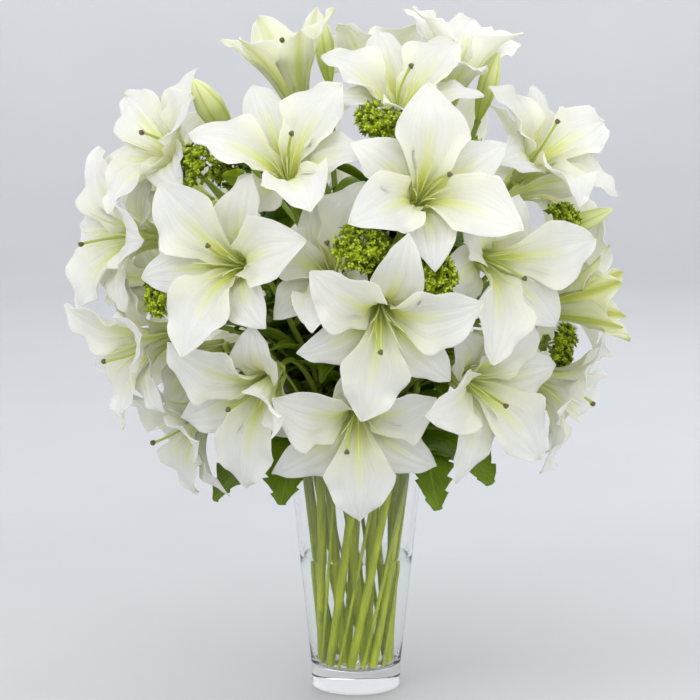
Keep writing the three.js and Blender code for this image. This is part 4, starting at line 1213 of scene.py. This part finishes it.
def makeSpray(order, name, foot, rim, heads):
    node = "filler_spray_" + name
    corners = cornersOf(node)
    footPoint, rimPoint, up = footAndRim(foot, rim, fillerShape["stalk"])
    stalk = np.linspace(footPoint, rimPoint, 12)
    lines = [(stalk, np.full(12, fillerShape["stalk"]), np.linspace(0, 0.4, 12))]
    leaves, spots = [], {"points": [], "facing": [], "size": []}
    bows = [(bow, deeper) for bow in (0, 0.5, -0.4, 1, 1.6) for deeper in (0, 12)]
    choices = [(swing, *bow) for swing in (0, 6, -6, 12, -12, 18, -18) for bow in bows]
    for k, head in enumerate(heads):

        def branchOf(choice):
            swing, bow, deeper = choice
            target = onDome((head[0] + swing, head[1], head[2] - deeper))
            arriving = unit(target - domeCentre)
            leaving = unit(up + arriving * bow)
            return bezier(rimPoint - up * 4, leaving, target - arriving * 15, arriving), arriving

        def tipOf(choice):
            curve, arriving = branchOf(choice)
            facing, tip = raysOf(curve(np.linspace(0, 1, 4)), arriving, 2 * order + k)[0]
            return tip + facing * 1.4

        found = nearestChoice(corners, choices, tipOf)
        if not found:
            continue
        curve, arriving = branchOf(found)
        bent = roundOff(curve(np.linspace(0, 1, 4)), 2)
        count = len(bent)
        lines.append((bent, np.full(count, fillerShape["branch"]), np.linspace(0.4, 1, count)))
        fork = curve(1.0)[0]
        for n, (facing, tip) in enumerate(raysOf(curve(np.linspace(0, 1, 4)), arriving, 2 * order + k)):
            lines.append((np.linspace(fork, tip, 4), np.full(4, fillerShape["ray"]), np.full(4, 1.0)))
            addFlorets(tip - facing * 5, facing, n, order, lines, spots)
        across = unit(np.cross((0, 0, 1), arriving))
        leafTip = fork + across * fillerShape["leaf"] + arriving * 2
        leafCurve = bezier(fork - arriving * 5, across, leafTip, across)
        leaves.append(makeLeaf(leafCurve, arriving, fillerShape["leafHalfWidth"], 0.2, 0, 0.0))
    settle(growLines("fillerStalks_" + name, lines, fillerShape["sides"], "stem"), "filler", node)
    values = {"Floret": floretPattern, "Seed": order + 1, "Material": materials["floret"]}
    layers = {"facing": spots["facing"], "size": np.array(spots["size"]) * 0.001}
    settle(grow("florets_" + name, trees["florets"], spots["points"], [], layers, values), "filler", node)
    settle(makeObject("fillerLeaves_" + name, joinParts(leaves), "fillerLeaf"), "filler", node)


for number, spray in enumerate(sprays):
    makeSpray(number, *spray)
bpy.data.objects.remove(floretPattern)
print("filler sprays made")


# The glass vase and its water
glassShape = {
    "sides": 128, "lipSteps": 8, "cornerSteps": 6, "footCorner": 2, "innerCorner": 4.5,
    "waterOverlap": 0.12, "meniscus": 0.6,
}


def innerRadius(height):
    slope = (vase["rimRadius"] - vase["footRadius"]) / (vase["height"] - vase["footHeight"])
    return vase["footRadius"] + (height - vase["footHeight"]) * slope - vase["wall"]


def arc(centreR, centreZ, radius, start, end, steps):
    turns = np.radians(np.linspace(start, end, steps))
    return [(centreR + radius * math.cos(a), centreZ + radius * math.sin(a)) for a in turns]


def makeVase():
    lip = vase["wall"] / 2
    lipHeight = vase["height"] - lip
    foot = vase["footRadius"]
    corner = glassShape["footCorner"]
    hollow = glassShape["innerCorner"]
    profile = [(8, 0), (20, 0), (foot - corner, 0)]
    profile += arc(foot - corner, corner, corner, -90, 0, glassShape["cornerSteps"])[1:]
    profile += [(foot, 8), (foot, vase["footHeight"] - 3), (foot + 0.1, vase["footHeight"])]
    rise = np.linspace(vase["footHeight"] + 4, lipHeight, 12)
    profile += [(innerRadius(h) + vase["wall"], h) for h in rise]
    profile += arc(vase["rimRadius"] - lip - 0.15, lipHeight, lip, 0, 180, glassShape["lipSteps"])[1:]
    fall = np.linspace(lipHeight - 6, vase["floor"] + 6, 12)
    profile += [(innerRadius(h), h) for h in fall]
    inner = innerRadius(vase["floor"])
    profile += arc(inner - hollow, vase["floor"] + hollow, hollow, 0, -90, glassShape["cornerSteps"])[1:]
    profile += [(20, vase["floor"]), (8, vase["floor"])]
    part = turnedPart(np.zeros(3), *np.eye(3), profile, glassShape["sides"])
    piece = makeObject("glassVase", part, "glass")
    settle(piece, "glass", "vase")


def makeWater():
    over = glassShape["waterOverlap"]
    level = vase["waterLevel"]
    bowl = innerRadius(vase["floor"]) - glassShape["innerCorner"]
    centre = vase["floor"] + glassShape["innerCorner"]
    profile = [(8, vase["floor"] - over), (20, vase["floor"] - over)]
    profile += arc(bowl, centre, glassShape["innerCorner"] + over, -90, 0, glassShape["cornerSteps"])
    profile += [(innerRadius(h) + over, h) for h in np.linspace(vase["floor"] + 10, level, 10)]
    wet = innerRadius(level)
    dip = glassShape["meniscus"]
    profile += [(wet - r, level - h * dip) for r, h in ((0.6, 0.1), (1.6, 0.6), (3.5, 0.95), (8, 1))]
    profile += [(8, level - dip)]
    part = turnedPart(np.zeros(3), *np.eye(3), profile, glassShape["sides"])
    piece = makeObject("vaseWater", part, "water")
    settle(piece, "water", "water")


makeVase()
makeWater()
print("vase and water made")


# Floor, light and camera
studio = {
    "target": (-0.005, 0.0, 0.2825),
    "distance": 2.2,
    "pitch": 9.0,
    "lens": 137.9,
    "floorColour": (0.52, 0.53, 0.545),
    # the colour the cove is painted towards as it rises: painted light, making up for the light that falls
    # off higher up
    "paintedLightWall": (0.81, 0.82, 0.83),
    "floorGap": 0.4,
    "worldColour": (0.875, 0.885, 0.91),
    "worldStrength": 1.31,
    "floorRadius": 2.6, "floorCurve": 1.3, "floorSides": 96,
}

# name, place, size, power, colour
lamps = [
    ("windowLight", (-1.5, -1.5, 1.9), 1.1, 13.5, (1.0, 0.985, 0.955)),
    ("fillLight", (1.9, -1.6, 0.8), 1.6, 8.5, (1.0, 0.985, 0.94)),
    ("frontLight", (0.3, -2.6, 1.5), 1.6, 13, (1.0, 0.99, 0.96)),
    ("backLight", (0.6, 1.8, 1.6), 1.2, 8, (1, 1, 1)),
]


def makeFloor():
    edge, curve = studio["floorRadius"], studio["floorCurve"]
    profile = [(0.02, 0.0), (0.5, 0.0), (1.2, 0.0), (edge, 0.0)]
    profile += arc(edge, curve, curve, -90, 0, 16)[1:] + [(edge + curve, 2 * curve)]
    profile = [(r * 1000, z * 1000 - studio["floorGap"]) for r, z in profile]
    part = turnedPart(np.zeros(3), *np.eye(3), profile, studio["floorSides"])
    part["faces"] = [face for face in part["faces"] if len(part["points"]) - 1 not in face]
    part["points"] = part["points"][:-1]
    materials["floor"], tree, shader = newMaterial("paleFloor", {"Roughness": 0.6})
    place = addNode(tree, "ShaderNodeTexCoord", output="Object")
    height = addNode(tree, "ShaderNodeSeparateXYZ", None, {"Vector": place}, output="Z")
    # Painted light: the cove gets brighter with height, to make up for the light falling off towards its
    # top; the noise adds a little random tone
    share = (height * 0.85 + noise(tree, 3.0) * 0.2).clamped()
    colour = mixColours(tree, share, studio["floorColour"], studio["paintedLightWall"])
    feed(tree, shader, {"Base Color": colour})
    makeObject("floor", part, "floor")


def addLight(name, place, size, power, colour):
    lamp = bpy.data.lights.new(name, "AREA")
    lamp.shape = "DISK"
    lamp.size = size
    lamp.energy = power
    lamp.color = colour
    holder = bpy.data.objects.new(name, lamp)
    bpy.context.scene.collection.objects.link(holder)
    holder.location = place
    holder.visible_camera = False
    aim = Vector(studio["target"]) - Vector(place)
    holder.rotation_euler = aim.to_track_quat("-Z", "Y").to_euler()


def makeStudio():
    makeFloor()
    world = bpy.data.worlds.new("softStudio")
    bpy.context.scene.world = world
    world.use_nodes = True
    backdrop = world.node_tree.nodes["Background"]
    backdrop.inputs[0].default_value = (*studio["worldColour"], 1)
    backdrop.inputs[1].default_value = studio["worldStrength"]
    for lamp in lamps:
        addLight(*lamp)
    lens = bpy.data.cameras.new("camera")
    lens.lens = studio["lens"]
    lens.sensor_width = 36
    camera = bpy.data.objects.new("camera", lens)
    bpy.context.scene.collection.objects.link(camera)
    pitch = math.radians(studio["pitch"])
    back = Vector((0, -math.cos(pitch), math.sin(pitch)))
    camera.location = Vector(studio["target"]) + back * studio["distance"]
    camera.rotation_euler = (-back).to_track_quat("-Z", "Y").to_euler()
    bpy.context.scene.camera = camera
    bpy.context.scene.view_settings.view_transform = "Standard"


makeStudio()
print("scene finished")
